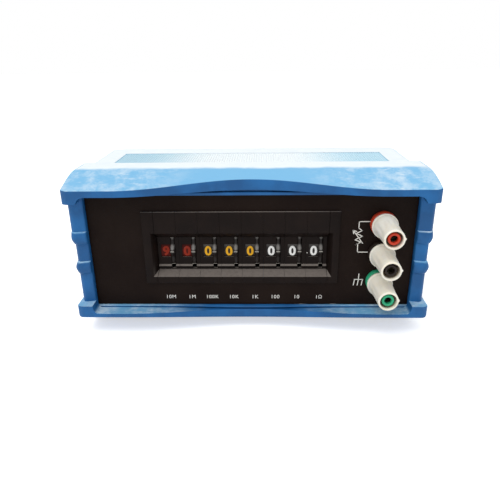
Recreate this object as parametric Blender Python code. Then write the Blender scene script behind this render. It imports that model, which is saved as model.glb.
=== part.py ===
# Decade resistance box: blue two-shell case, black front panel, a bank of eight thumbwheel
# switches and three binding posts. Metres, +Z up, the front looks along -Y.
# The origin is on the table, under the middle of the box.
import math

import bmesh
import bpy

# Fits
clearance = 0.0003  # between pieces that touch
overrun = 0.002  # how far a cutter passes the face it cuts
overlap = 0.0005  # how deep a joined shape sinks into its neighbour

# Case as a whole
foot_height = 0.0025
lip_reach = 0.011  # the covers' front lips ahead of the panel
lip_least = 0.0015  # what is left of that in the middle of the scoop
wall = 0.0024
overhang = 0.0065  # the covers' wide front part, beyond the sleeve's side

# Covers: the base is the top's mirror image
lip_face = 0.0037  # upright face along the lip's edge
slope_depth, slope_rise = 0.017, 0.007  # straight slope above the lip
crest_depth, crest_rise = 0.007, 0.0014  # where the slope turns into the flat
scoop_half_width = 0.078
arch_rise = 0.0016  # how far the middle of the lip's edge is raised
bumper_depth = 0.0355  # the wide front part, front to back
bumper_corner, bumper_corner_turn = 0.009, 68  # the corner stops short of the front, at a crease
bumper_shoulder = 0.005
body_corner = 0.012
body_shoulder = 0.0045
shoulder_height = 0.007
ear_drop = 0.0035  # how far the corner ears hang past the lip
ear_inset = 0.0082  # the ear's inner side, from the case's side
ear_slope = 0.0033
grille_side, grille_margin = 0.0157, 0.01025  # from the body's side and from the crests
grille_recess = 0.0006

# Bosses, screws and feet, the rear ones as far from the rear as the front ones from the front
boss_radius = 0.004
boss_inset, boss_end = 0.0165, 0.025
screw_radius = 0.0016
screw_head_radius, screw_head_height = 0.0028, 0.002
screw_length = 0.028
screw_depth = 0.018  # of its thread in the upper boss
driver_slot = 0.0008
foot_radius = 0.006
foot_seat = 0.001
foot_inset, foot_end = 0.0295, 0.028

# Sleeve between the covers, with the front pillars
sleeve_lap = 0.0002  # the sleeve's edge past the covers' lips
rail_reach = 0.002  # the sleeve's front edge ahead of the panel
top_rail, bottom_rail = 0.0017, 0.001
sleeve_wall = 0.0027
sleeve_rear = 0.002  # the sleeve's rear edge, short of the case's
ledge, ledge_depth = 0.0023, 0.002  # the seat behind each panel
pillar_inset = 0.0035  # from the case's side
pillar_setback = 0.0015  # from the lip's front
pillar_rear = 0.0045  # from the bumper's rear
pillar_corner = 0.004
pillar_taper = 0.005
rib_reach, rib_height = 0.003, 0.008
rib_front_share = 0.5
rib_top_shares = (0.255, 0.54)  # of the pillar's height, from its top
rib_shape_shares = ((0.0, 0.0), (0.03, 1.0), (0.4, 0.9), (0.72, 0.5), (1.0, 0.0))

# Panels, and the room round what they hold
panel_thickness = 0.002
bank_side_room = 0.03213  # the panel's left side to the bank
bank_room_below, bank_room_above = 0.0151, 0.0098
post_bank_room = 0.01637  # the bank to the posts' caps
post_side_room = 0.0111  # the caps to the panel's right side
post_room_below = 0.0083
wiring_room = 0.0157  # behind the decade boards
rear_panel_side = 0.014  # from the body's side
rear_panel_recess = 0.002  # from the sleeve's rear edge
rear_rail = 0.004

# Thumbwheel bank: one module is half an inch wide
module_count = 8
digit_start, digit_width = 0.0019, 0.0055  # across the module
slot_width, slot_margin = 0.003, 0.0023
side_wall = 0.001
bezel_reach = 0.0015  # ahead of the panel
flange = 0.0022  # the bezel past the cut-out, above and below
cheek_flange = 0.002
left_cheek_width, right_cheek_width = 0.007, 0.0062
sill_below, window_above = 0.0043, 0.0131  # the bezel's bars below and above the window
window_depth = 0.0065
sill_rise, window_head, cheek_slant = 0.0027, 0.001, 0.0024
face_thickness = 0.0008
drum_radius = 0.0107
rim_stand = 0.0035  # the thumb rim beyond the drum
tooth_count, tooth_depth = 10, 0.0009
axle_radius = 0.0024
wheel_gap = 0.0006
housing_floor, housing_back = 0.0011, 0.0024  # below and behind the wheel's room
slot_below, slot_above, face_above = 0.0005, 0.00232, 0.0025  # round the rim, where it passes the face
digit_height, digit_rise = 0.0076, 0.0005  # the middle of the figure, above the axle
bar_height, bar_reach = 0.0012, 0.001
rod_radius = 0.0012
rod_head_radius, rod_head = 0.0023, 0.0012
rod_back = 0.0045  # from the bank's rear end
rod_inset = 0.0036  # from the housing's upper and lower sides

# Decade boards behind the bank
board_thickness = 0.001
board_inset = 0.0063  # from the housing's upper and lower sides
board_length = 0.032
board_seat = 0.004
resistor_radius, resistor_length = 0.0013, 0.0066
resistor_rows, resistor_columns = 3, 2
resistor_pitch_y, resistor_pitch_z = 0.0115, 0.0085

# Binding posts
post_names = ("red", "black", "green")
socket_radius, socket_depth = 0.002, 0.019  # for 4 mm plugs
stud_radius = 0.003  # M6
stud_tail = 0.014  # behind the panel's front
cap_length = 0.023
cap_bore_radius, cap_bore_depth = 0.0044, 0.0079
cap_wall, cap_rim, cap_flare = 0.0009, 0.0003, 0.0028  # round the bore, at the mouth and at the skirt
cap_round = 0.0007
cap_gap = 0.0019  # between two caps' skirts
cap_profile_shares = ((0.0, 0.0), (0.09, 0.0), (0.2, 0.24), (0.34, 0.62), (0.5, 0.9), (0.62, 1.0))
flute_count, flute_depth = 12, 0.0003
collar_step, collar_thickness = 0.0003, 0.003
bush_radius = 0.0046
ring_radius, ring_thickness = 0.0065, 0.001
tip_gap, tip_length, tip_inset = 0.0009, 0.0027, 0.0007
wire_hole_radius, wire_hole_rise = 0.001, 0.0019
nut_radius, nut_height = 0.0052, 0.003

# Wheels and modules, worked out from the sizes above
digit_end = digit_start + digit_width
slot_end = digit_end + slot_width
module_pitch = slot_end + slot_margin
rim_radius, rim_width = drum_radius + rim_stand, slot_width - clearance * 2
wheel_room_radius = rim_radius + wheel_gap
face_depth = window_depth - bezel_reach  # the wheels' face, behind the panel's front
wheel_centre_depth = face_depth + face_thickness + clearance + drum_radius
bank_depth = wheel_centre_depth + wheel_room_radius + housing_back
wheel_centre_rise = flange + housing_floor + wheel_room_radius - sill_below - sill_rise
rim_chord = math.sqrt(rim_radius ** 2 - (drum_radius + clearance) ** 2)
slot_bottom, slot_top = wheel_centre_rise - rim_chord - slot_below, wheel_centre_rise + rim_chord + slot_above
digit_bottom = wheel_centre_rise + digit_rise - digit_height / 2
digit_top = digit_bottom + digit_height
window_height = sill_rise + slot_top + face_above
bezel_height = sill_below + window_height + window_above
bank_width = left_cheek_width + module_count * module_pitch + right_cheek_width

# Posts
cap_barrel_radius = cap_bore_radius + cap_wall
cap_mouth_radius, cap_skirt_radius = cap_barrel_radius + cap_rim, cap_barrel_radius + cap_flare
collar_radius, tip_radius = cap_skirt_radius - collar_step, cap_bore_radius - tip_gap
bore = stud_radius + clearance
post_pitch = cap_skirt_radius * 2 + cap_gap
post_reach = clearance * 3 + collar_thickness + ring_thickness + cap_length

# The case round them: front to back, then upwards from the table, then across
panel_to_board_end = bank_depth - board_seat + board_length
panel_to_rear_panel = panel_to_board_end + wiring_room + ledge_depth + clearance
panel_to_rear = panel_to_rear_panel + panel_thickness + rear_panel_recess + sleeve_rear
panel_y = (post_reach - panel_to_rear) / 2
case_front, case_rear = panel_y - lip_reach, panel_y + panel_to_rear
case_depth = case_rear - case_front
sleeve_front, sleeve_back = panel_y - rail_reach, case_rear - sleeve_rear
panel_back, rear_panel_y = panel_y + panel_thickness, panel_y + panel_to_rear_panel
bank_front, bank_back = panel_y - bezel_reach, panel_y + bank_depth
window_floor = bank_front + window_depth
scoop_depth = lip_reach - lip_least
pillar_reach = lip_reach - pillar_setback
pillar_depth = bumper_depth - pillar_setback - pillar_rear

cover_height = lip_face + slope_rise + crest_rise  # flat face to the lip's edge
base_z = foot_height
base_lip_z = base_z + cover_height
sleeve_bottom = base_lip_z - sleeve_lap
panel_low = sleeve_bottom + bottom_rail
bezel_bottom = panel_low + bank_room_below
bezel_top = bezel_bottom + bezel_height
panel_high = bezel_top + bank_room_above
sleeve_top = panel_high + top_rail
top_lip_z = sleeve_top - sleeve_lap
top_z = top_lip_z + cover_height
middle_z = (base_z + top_z) / 2
rear_low, rear_high = sleeve_bottom + rear_rail, sleeve_top - rear_rail
screw_seat = middle_z + screw_depth - screw_length
sill_low = bezel_bottom + sill_below
sill_top = sill_low + sill_rise
wheel_y, wheel_z = panel_y + wheel_centre_depth, sill_top + wheel_centre_rise
housing_low, housing_high = bezel_bottom + flange, bezel_top - flange
board_z, board_height = (housing_low + housing_high) / 2, housing_high - housing_low - board_inset * 2
lowest_post_z = panel_low + post_room_below + cap_skirt_radius
post_top_z = lowest_post_z + post_pitch * (len(post_names) - 1)

post_room = post_bank_room + cap_skirt_radius * 2 + post_side_room
panel_half = (bank_side_room + bank_width + post_room) / 2
half_body = panel_half + sleeve_wall
half_case = half_body + overhang
pillar_half = half_case - pillar_inset
rear_panel_half = half_body - rear_panel_side
bank_start = bank_side_room - panel_half
bank_left, bank_end = -bank_start - left_cheek_width, bank_start + bank_width
bank_right = bank_end - right_cheek_width
post_x = panel_half - post_side_room - cap_skirt_radius
grille_width = (half_body - grille_side) * 2
grille_depth = case_depth - (slope_depth + crest_depth + grille_margin) * 2


def material(name, colour, roughness, metallic=0.0):
    made = bpy.data.materials.new(name)
    made.use_nodes = True
    surface = made.node_tree.nodes["Principled BSDF"]
    surface.inputs["Base Color"].default_value = (*colour, 1.0)
    surface.inputs["Roughness"].default_value = roughness
    surface.inputs["Metallic"].default_value = metallic
    made.diffuse_color = (*colour, 1.0)
    return made


def add_object(name, mesh, finish=None):
    obj = bpy.data.objects.new(name, mesh)
    bpy.context.scene.collection.objects.link(obj)
    if finish:
        mesh.materials.append(finish)
    else:
        obj.hide_render = not mesh.materials
        obj.display_type = "TEXTURED" if mesh.materials else "WIRE"
    return obj


def finished_mesh(name, shape):
    bmesh.ops.remove_doubles(shape, verts=shape.verts, dist=1e-7)
    bmesh.ops.recalc_face_normals(shape, faces=shape.faces)
    mesh = bpy.data.meshes.new(name)
    shape.to_mesh(mesh)
    shape.free()
    return mesh


def placed(point, axis, along):
    """A point of an outline, at a distance along the axis that the outline is pushed out on."""
    a, b = point
    return {"X": (along, a, b), "Y": (a, along, b), "Z": (a, b, along)}[axis]


def prism(name, outline, axis, start, end, finish=None):
    """An outline pushed out along X, Y or Z. Without a finish it is a helper for a Boolean."""
    shape = bmesh.new()
    face = shape.faces.new([shape.verts.new(placed(point, axis, start)) for point in outline])
    pushed = bmesh.ops.extrude_face_region(shape, geom=[face])["geom"]
    moved = [v for v in pushed if isinstance(v, bmesh.types.BMVert)]
    bmesh.ops.translate(shape, verts=moved, vec=placed((0, 0), axis, end - start))
    return add_object(name, finished_mesh(name, shape), finish)


def rectangle(low_a, high_a, low_b, high_b):
    return [(low_a, low_b), (high_a, low_b), (high_a, high_b), (low_a, high_b)]


def block(name, low, high, finish=None):
    return prism(name, rectangle(low[0], high[0], low[1], high[1]), "Z", low[2], high[2], finish)


def arc(centre, radii, start, end, steps):
    """Points on an ellipse's arc, with angles in degrees."""
    turns = [math.radians(start + (end - start) * i / steps) for i in range(steps + 1)]
    return [(centre[0] + radii[0] * math.cos(t), centre[1] + radii[1] * math.sin(t)) for t in turns]


def circle(centre, radius, steps):
    return arc(centre, (radius, radius), 0, 360, steps)[:-1]


def mirrored(outline):
    """Closes the right half of an outline with its mirror image."""
    return outline + [(-x, b) for x, b in reversed(outline) if x > 0]


def turned(profile, steps, reshape=None):
    """A closed profile of (radius, place along +Z) spun about the Z axis."""
    shape = bmesh.new()
    corners = [shape.verts.new((r, 0, z)) for r, z in profile]
    edges = [shape.edges.new(pair) for pair in zip(corners, corners[1:] + corners[:1])]
    bmesh.ops.spin(shape, geom=corners + edges, axis=(0, 0, 1), cent=(0, 0, 0),
                   angle=math.radians(360), steps=steps, use_merge=True)
    bmesh.ops.remove_doubles(shape, verts=shape.verts, dist=1e-6)
    if reshape:
        for vert in shape.verts:
            reshape(vert.co)
    return finished_mesh("turned", shape)


def loft(name, outlines):
    """A closed body through outlines of equally many points, each given as points in space."""
    shape = bmesh.new()
    rings = [[shape.verts.new(point) for point in outline] for outline in outlines]
    for first, second in zip(rings, rings[1:]):
        for i in range(len(first)):
            j = (i + 1) % len(first)
            shape.faces.new((first[i], first[j], second[j], second[i]))
    shape.faces.new(rings[0])
    shape.faces.new(list(reversed(rings[-1])))
    return add_object(name, finished_mesh(name, shape))


def boolean(target, other, operation):
    modifier = target.modifiers.new(f"{operation.lower()} {other.name}", "BOOLEAN")
    modifier.object = other
    modifier.operation = operation
    modifier.solver = "EXACT"


def cut(target, *cutters):
    for cutter in cutters:
        boolean(target, cutter, "DIFFERENCE")


def join(target, *others):
    for other in others:
        boolean(target, other, "UNION")


def keep_inside(target, *others):
    for other in others:
        boolean(target, other, "INTERSECT")


def smooth_by_angle(angle=math.radians(32)):
    """Node group that shades round sides smooth and keeps the edges sharper than the angle."""
    group = bpy.data.node_groups.new("smooth by angle", "GeometryNodeTree")
    for way in ("INPUT", "OUTPUT"):
        group.interface.new_socket("Geometry", in_out=way, socket_type="NodeSocketGeometry")
    start, end = group.nodes.new("NodeGroupInput"), group.nodes.new("NodeGroupOutput")
    faces, edges = (group.nodes.new("GeometryNodeSetShadeSmooth") for _ in range(2))
    edges.domain = "EDGE"
    corner = group.nodes.new("GeometryNodeInputMeshEdgeAngle")
    gentle = group.nodes.new("FunctionNodeCompare")
    gentle.operation = "LESS_THAN"
    gentle.inputs["B"].default_value = angle
    group.links.new(start.outputs["Geometry"], faces.inputs["Geometry"])
    group.links.new(faces.outputs["Geometry"], edges.inputs["Geometry"])
    group.links.new(corner.outputs["Unsigned Angle"], gentle.inputs["A"])
    group.links.new(gentle.outputs["Result"], edges.inputs["Shade Smooth"])
    group.links.new(edges.outputs["Geometry"], end.inputs["Geometry"])
    return group


# Covers: side profile, plan and front view each pushed out along its own axis, and what all three share

def wave(x):
    """1 in the middle of the front, 0 from the scoop's ends outwards, with no corner between."""
    return 0.5 + 0.5 * math.cos(math.pi * min(abs(x) / scoop_half_width, 1.0))


def scoop_stations(steps=13):
    return [scoop_half_width * i / steps for i in range(steps + 1)]


def side_profile(lip_z, side):
    """The cover from the side, from below its front edge, over the flat and down at the rear."""
    face_top = lip_z + side * lip_face
    crest_start = face_top + side * slope_rise
    front = [(case_front, lip_z - side * ear_drop * 2), (case_front, face_top)]
    for step in range(4):
        t = step / 3
        front.append((case_front + slope_depth + crest_depth * t, crest_start + side * crest_rise * (2 * t - t * t)))
    return front + [(case_front + case_rear - y, z) for y, z in reversed(front)]


def bumper_plan():
    centre_y = case_front + bumper_corner * math.sin(math.radians(bumper_corner_turn))
    scoop = [(x, case_front + scoop_depth * wave(x)) for x in scoop_stations()]
    corner = arc((half_case - bumper_corner, centre_y), (bumper_corner, bumper_corner), -bumper_corner_turn, 0, 6)
    return mirrored(scoop + corner + [(half_case, case_front + bumper_depth)])


def body_plan(half, front, back, corner):
    """Straight sides and rounded rear corners."""
    return mirrored([(half, front)] + arc((half - corner, back - corner), (corner, corner), 0, 90, 6))


def shoulder(half, inset, lip_z, side):
    """The rounded edge between a cover's side and its flat, and on past the flat."""
    flat = lip_z + side * cover_height
    turn = arc((half - inset, flat - side * shoulder_height), (inset, side * shoulder_height), 0, 90, 6)
    return turn + [(half - inset, flat + side * overrun)]


def bumper_view(lip_z, side):
    """Front view of the wide part, with the ears at its corners."""
    inner = half_case - ear_inset
    lower = [(inner - ear_slope, lip_z), (inner, lip_z - side * ear_drop), (half_case, lip_z - side * ear_drop)]
    return mirrored(lower + shoulder(half_case, bumper_shoulder, lip_z, side))


def body_view(lip_z, side):
    seat = lip_z + side * (sleeve_lap + clearance)
    return mirrored([(half_body, seat)] + shoulder(half_body, body_shoulder, lip_z, side))


def cavity_profile(lip_z, side):
    """The hollow from the side, its roof one wall inside the flat and the slopes."""
    roof = lip_z + side * (cover_height - wall)
    knee = lip_z + side * lip_face * 0.85
    low = lip_z - side * ear_drop * 2
    front, rear = case_front + scoop_depth + wall * 2, case_rear - wall * 1.7
    bend = slope_depth + wall * 1.5
    return [(front, low), (front, lip_z + side * lip_face * 1.5), (case_front + bend, roof),
            (case_rear - bend, roof), (rear, knee), (rear, low)]


def boss_places():
    x = half_case - boss_inset
    return [(sx * x, case_front + y) for sx in (-1, 1) for y in (boss_end, case_depth - boss_end)]


def foot_places():
    x = half_case - foot_inset
    return [(sx * x, case_front + y) for sx in (-1, 1) for y in (foot_end, case_depth - foot_end)]


def cover(name, lip_z, side, finish):
    low, high = sorted((lip_z - side * ear_drop * 2, lip_z + side * (cover_height + overrun)))
    shell = prism(name, bumper_plan(), "Z", low, high, finish)
    keep_inside(shell, prism(f"{name}_bumper_view", bumper_view(lip_z, side), "Y",
                             case_front - overrun, case_rear))
    rear = prism(f"{name}_body", body_plan(half_body, case_front + slope_depth, case_rear, body_corner), "Z",
                 low, high)
    keep_inside(rear, prism(f"{name}_body_view", body_view(lip_z, side), "Y", case_front, case_rear + overrun))
    join(shell, rear)
    keep_inside(shell, prism(f"{name}_side_profile", side_profile(lip_z, side), "X",
                             -half_case - overrun, half_case + overrun))
    arch = [(x, lip_z + side * arch_rise * wave(x)) for x in scoop_stations()]
    arch = mirrored(arch + [(scoop_half_width, lip_z - side * overrun)])
    cut(shell, prism(f"{name}_arch", arch, "Y", case_front - overrun, panel_y))
    reach = half_body + clearance
    seat_low, seat_high = sorted((low if side > 0 else high, lip_z + side * (sleeve_lap + clearance)))
    cut(shell, block(f"{name}_sleeve_room", (-reach, sleeve_front - clearance, seat_low),
                     (reach, case_rear + overrun, seat_high)))
    inner = half_body - body_shoulder - overlap
    cut(shell, prism(f"{name}_cavity", cavity_profile(lip_z, side), "X", -inner, inner))
    roof = lip_z + side * (cover_height - wall + overlap)
    for i, place in enumerate(boss_places()):
        boss_low, boss_high = sorted((middle_z + side * clearance / 2, roof))
        join(shell, prism(f"{name}_boss_{i + 1}", circle(place, boss_radius, 16), "Z", boss_low, boss_high))
    return shell


def case_covers(finish):
    top = cover("top_cover", top_lip_z, 1, finish)
    base = cover("base_cover", base_lip_z, -1, finish)
    for i, place in enumerate(boss_places()):
        hole = prism(f"screw_hole_{i + 1}", circle(place, screw_radius + clearance, 12), "Z",
                     screw_seat - overrun, middle_z + screw_depth + overrun)
        well = prism(f"screw_well_{i + 1}", circle(place, screw_head_radius + clearance, 16), "Z",
                     base_z - overrun, screw_seat)
        cut(base, hole, well)
        cut(top, hole)
    for i, place in enumerate(foot_places()):
        cut(base, prism(f"foot_seat_{i + 1}", circle(place, foot_radius + clearance, 16), "Z",
                        base_z - overrun, base_z + foot_seat + clearance))
    middle_y = case_front + case_depth / 2
    cut(top, block("grille_field", (-grille_width / 2, middle_y - grille_depth / 2, top_z - grille_recess),
                   (grille_width / 2, middle_y + grille_depth / 2, top_z + overrun)))


def case_screws(finish):
    seat = screw_seat - clearance
    low = seat - screw_head_height
    profile = [(0, low), (screw_head_radius, low), (screw_head_radius, seat), (screw_radius, seat),
               (screw_radius, seat + screw_length - screw_radius), (0, seat + screw_length)]
    mesh = turned(profile, 12)
    mesh.materials.append(finish)
    for i, (x, y) in enumerate(boss_places()):
        screw = add_object(f"case_screw_{i + 1}", mesh)
        screw.location = (x, y, 0)
        cut(screw, block(f"driver_slot_{i + 1}", (x - screw_head_radius * 0.6, y - driver_slot / 2, low - overrun),
                         (x + screw_head_radius * 0.6, y + driver_slot / 2, seat - screw_head_height / 2)))


def feet(finish):
    profile = [(0, 0), (foot_radius * 0.86, 0), (foot_radius, foot_height * 0.4),
               (foot_radius, base_z + foot_seat), (0, base_z + foot_seat)]
    mesh = turned(profile, 16)
    mesh.materials.append(finish)
    for i, (x, y) in enumerate(foot_places()):
        add_object(f"foot_{i + 1}", mesh).location = (x, y, 0)


# Sleeve: the tube between the covers, open above and below, with ribbed pillars at its front corners

def pillar_outline(grow):
    """Right pillar from above, its front and outer side pushed out by a rib."""
    outer, front = pillar_half + grow, panel_y - pillar_reach - grow * rib_front_share
    back = panel_y - pillar_reach + pillar_depth
    inner, sunk, behind = panel_half - clearance, panel_half + sleeve_wall / 2, panel_y - overlap
    corner = arc((outer - pillar_corner, front + pillar_corner), (pillar_corner, pillar_corner), -90, 0, 4)
    return [(inner, front)] + corner + [(outer, back - pillar_taper), (sunk, back), (sunk, behind), (inner, behind)]


def pillar(name, turn):
    low = base_lip_z + ear_drop + clearance
    high = top_lip_z - ear_drop - clearance
    levels = [(high, 0.0)]
    for top_share in rib_top_shares:
        top = high - top_share * (high - low)
        levels += [(top - down * rib_height, out * rib_reach) for down, out in rib_shape_shares]
    levels.append((low, 0.0))
    return loft(name, [[(turn * x, y, z) for x, y in pillar_outline(grow)] for z, grow in levels])


def body_sleeve(finish):
    sleeve = prism("body_sleeve", body_plan(half_body, sleeve_front, sleeve_back, body_corner), "Z",
                   sleeve_bottom, sleeve_top, finish)
    front_seat, rear_seat = panel_back + clearance, rear_panel_y - clearance
    inner_front, inner_back = front_seat + ledge_depth, rear_seat - ledge_depth
    inner_corner = body_corner - (sleeve_back - inner_back)
    hollow = prism("sleeve_hollow", body_plan(panel_half, inner_front, inner_back, inner_corner), "Z",
                   sleeve_bottom - overrun, sleeve_top + overrun)
    front_seat_room = block("front_panel_room", (-panel_half, sleeve_front - overrun, panel_low),
                            (panel_half, front_seat, panel_high))
    front_sight = block("front_opening", (-panel_half + ledge, sleeve_front - overrun, panel_low + ledge),
                        (panel_half - ledge, inner_front + overrun, panel_high - ledge))
    half = rear_panel_half + clearance
    rear_seat_room = block("rear_panel_room", (-half, rear_seat, rear_low), (half, sleeve_back + overrun, rear_high))
    rear_sight = block("rear_opening", (-half + ledge, inner_back - overrun, rear_low + ledge),
                       (half - ledge, sleeve_back + overrun, rear_high - ledge))
    cut(sleeve, hollow, front_seat_room, front_sight, rear_seat_room, rear_sight)
    join(sleeve, pillar("right_pillar", 1), pillar("left_pillar", -1))


# Panels

def front_panel(finish):
    panel = block("front_panel", (-panel_half + clearance, panel_y, panel_low + clearance),
                  (panel_half - clearance, panel_back, panel_high - clearance), finish)
    near, far = panel_y - overrun, panel_back + overrun
    cut(panel, block("bank_cut_out", (bank_start + cheek_flange - clearance, near, housing_low - clearance),
                     (bank_end - cheek_flange + clearance, far, housing_high + clearance)))
    for name, z in post_places():
        cut(panel, prism(f"{name}_panel_hole", circle((post_x, z), bush_radius + clearance, 16), "Y", near, far))


def rear_panel(finish):
    block("rear_panel", (-rear_panel_half, rear_panel_y, rear_low + clearance),
          (rear_panel_half, rear_panel_y + panel_thickness, rear_high - clearance), finish)


# Thumbwheel bank

def bank_window():
    """One slanted window through all bezels: wide at the front, narrower at the wheels' face."""
    grow = 1 + overrun / window_depth
    outlines = []
    for y, out in ((bank_front - overrun, grow), (window_floor, 0.0)):
        slant = cheek_slant * out
        corners = rectangle(-bank_left - slant, bank_right + slant, sill_top - sill_rise * out,
                            sill_low + window_height - window_head * (1 - out))
        outlines.append([(x, y, z) for x, z in corners])
    return loft("bank_window", outlines)


def rod_places():
    y = bank_back - rod_back
    return [(y, housing_low + rod_inset), (y, housing_high - rod_inset)]


def rod_holes():
    return [prism(f"rod_hole_{i + 1}", circle(place, rod_radius + clearance, 10), "X",
                  bank_start - overrun, bank_end + overrun) for i, place in enumerate(rod_places())]


def bezel_with_body(name, left, right, body_left, body_right, finish):
    """A piece of the bezel ahead of the panel, with its body behind, inside the cut-out."""
    plate = block(name, (left, bank_front, bezel_bottom), (right, panel_y - clearance, bezel_top), finish)
    join(plate, block(f"{name}_body", (body_left, panel_y - clearance - overlap, housing_low),
                      (body_right, bank_back, housing_high)))
    return plate


def switch_housing(index, window, holes, finish):
    left = index * module_pitch - bank_left
    low_x, high_x = left + clearance / 2, left + module_pitch - clearance / 2
    name = f"switch_housing_{index + 1}"
    housing = bezel_with_body(name, low_x, high_x, low_x, high_x, finish)
    cut(housing, window)
    near, far = window_floor - bar_reach, window_floor + face_thickness
    join(housing, block(f"{name}_bar", (low_x, near, sill_top + slot_bottom),
                        (high_x, window_floor + overlap, sill_top + slot_bottom + bar_height)))
    wheel_room = prism(f"{name}_wheel_room", circle((wheel_y, wheel_z), wheel_room_radius, 22), "X",
                       low_x + side_wall, high_x + overrun)
    keep_inside(wheel_room, block(f"{name}_behind_face", (low_x, far, wheel_z - wheel_room_radius * 2),
                                  (high_x + overrun * 2, bank_back, wheel_z + wheel_room_radius * 2)))
    digit = block(f"{name}_digit_window", (left + digit_start, near - overrun, sill_top + digit_bottom),
                  (left + digit_end, far + overrun, sill_top + digit_top))
    slot = block(f"{name}_wheel_slot", (left + digit_end - clearance, near - overrun, sill_top + slot_bottom),
                 (left + slot_end, far + overrun, sill_top + slot_top))
    cut(housing, wheel_room, digit, slot)
    join(housing, prism(f"{name}_axle", circle((wheel_y, wheel_z), axle_radius, 10), "X",
                        low_x + side_wall - overlap, left + slot_end))
    board_x, half = left + module_pitch / 2, board_thickness / 2 + clearance
    seat_low, seat_high = board_z - board_height / 2 - clearance, board_z + board_height / 2 + clearance
    cut(housing, block(f"{name}_board_seat", (board_x - half, bank_back - board_seat - clearance, seat_low),
                       (board_x + half, bank_back + overrun, seat_high)), *holes)


def thumbwheel_mesh(finish):
    """Digit drum with a scalloped thumb rim on its right, bored for the axle, along +Z from the module's side."""
    hole = axle_radius + clearance
    start, drum_end = side_wall + wheel_gap, digit_end + clearance
    end = drum_end + rim_width
    profile = [(hole, start), (drum_radius, start), (drum_radius, drum_end), (rim_radius, drum_end),
               (rim_radius, end), (hole, end)]

    def scallop(co):
        radius = math.hypot(co.x, co.y)
        if radius > drum_radius + tooth_depth:
            dip = tooth_depth * (0.5 - 0.5 * math.cos(tooth_count * math.atan2(co.y, co.x)))
            co.xy *= (radius - dip) / radius

    mesh = turned(profile, tooth_count * 2, scallop)
    mesh.materials.append(finish)
    return mesh


def tie_rods(finish):
    start, end = bank_start + cheek_flange - clearance, bank_end - cheek_flange + clearance
    profile = [(0, start - rod_head), (rod_head_radius, start - rod_head), (rod_head_radius, start),
               (rod_radius, start), (rod_radius, end), (rod_head_radius, end),
               (rod_head_radius, end + rod_head), (0, end + rod_head)]
    mesh = turned(profile, 10)
    mesh.materials.append(finish)
    for label, (y, z) in zip(("lower", "upper"), rod_places()):
        rod = add_object(f"{label}_tie_rod", mesh)
        rod.location = (0, y, z)
        rod.rotation_euler = (0, math.radians(90), 0)


def decade_board(index, finish):
    """Circuit board on edge in the back of its switch, with the decade's resistors on its right side."""
    name = f"decade_board_{index + 1}"
    x, front = (index + 0.5) * module_pitch - bank_left, bank_back - board_seat
    board = block(name, (x - board_thickness / 2, front, board_z - board_height / 2),
                  (x + board_thickness / 2, front + board_length, board_z + board_height / 2), finish)
    centre_x = x + board_thickness / 2 + resistor_radius * 0.7
    for row in range(resistor_rows):
        z = board_z + (row - (resistor_rows - 1) / 2) * resistor_pitch_z
        for column in range(resistor_columns):
            y = front + board_seat + resistor_length / 3 + column * resistor_pitch_y
            join(board, prism(f"{name}_resistor_{row + 1}_{column + 1}",
                              circle((centre_x, z), resistor_radius, 6), "Y", y, y + resistor_length))


def thumbwheel_bank(black, wheel_black, board_green, steel):
    window, holes = bank_window(), rod_holes()
    left_end, right_start = -bank_left - clearance / 2, bank_right + clearance / 2
    for cheek in (bezel_with_body("left_cheek", bank_start, left_end, bank_start + cheek_flange, left_end, black),
                  bezel_with_body("right_cheek", right_start, bank_end, right_start, bank_end - cheek_flange, black)):
        cut(cheek, window, *holes)
    wheel_mesh = thumbwheel_mesh(wheel_black)
    for index in range(module_count):
        switch_housing(index, window, holes, black)
        wheel = add_object(f"thumbwheel_{index + 1}", wheel_mesh)
        wheel.location = (index * module_pitch - bank_left, wheel_y, wheel_z)
        wheel.rotation_euler = (0, math.radians(90), 0)
        decade_board(index, board_green)
    tie_rods(steel)


# Binding posts: each piece is built along +Z from the panel's front outwards, then laid on -Y

def post_places():
    return [(name, post_top_z - i * post_pitch) for i, name in enumerate(post_names)]


def collar_profile():
    low, high = clearance, clearance + collar_thickness
    edge = collar_thickness * 0.3
    return [(bore, high), (bore, -panel_thickness), (bush_radius, -panel_thickness), (bush_radius, low),
            (collar_radius, low), (collar_radius, high - edge), (collar_radius - edge, high)]


def ring_profile():
    low = clearance * 2 + collar_thickness
    return rectangle(bore, ring_radius, low, low + ring_thickness)


def cap_profile():
    """Thumb cap with a flared skirt and a deep mouth, bored for the stud."""
    start = clearance * 3 + collar_thickness + ring_thickness
    fall = cap_skirt_radius - cap_barrel_radius
    outside = [(cap_skirt_radius - fall * narrow, start + cap_length * share)
               for share, narrow in cap_profile_shares]
    outside += [(cap_mouth_radius, post_reach - cap_round), (cap_mouth_radius - cap_round, post_reach)]
    inner_end = post_reach - cap_bore_depth
    return outside + [(cap_bore_radius, post_reach), (cap_bore_radius, inner_end), (bore, inner_end), (bore, start)]


def flute(co):
    """Presses shallow grooves along the cap's barrel."""
    radius = math.hypot(co.x, co.y)
    start = post_reach - cap_length * (1 - cap_profile_shares[2][0])
    if radius > cap_bore_radius + clearance and start < co.z < post_reach - cap_round / 2:
        dip = flute_depth * (0.5 - 0.5 * math.cos(flute_count * math.atan2(co.y, co.x)))
        co.xy *= (radius - dip) / radius


def stud_profile():
    """Threaded stud with a plug socket down its front end."""
    end = post_reach - tip_inset - tip_length - clearance
    bottom = end - socket_depth
    return [(0, bottom), (socket_radius, bottom), (socket_radius, end), (stud_radius, end),
            (stud_radius, -stud_tail), (0, -stud_tail)]


def tip_profile():
    end = post_reach - tip_inset
    edge = tip_length * 0.15
    return [(socket_radius, end - tip_length), (tip_radius, end - tip_length), (tip_radius, end - edge),
            (tip_radius - edge, end), (socket_radius + edge, end), (socket_radius, end - edge)]


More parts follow.
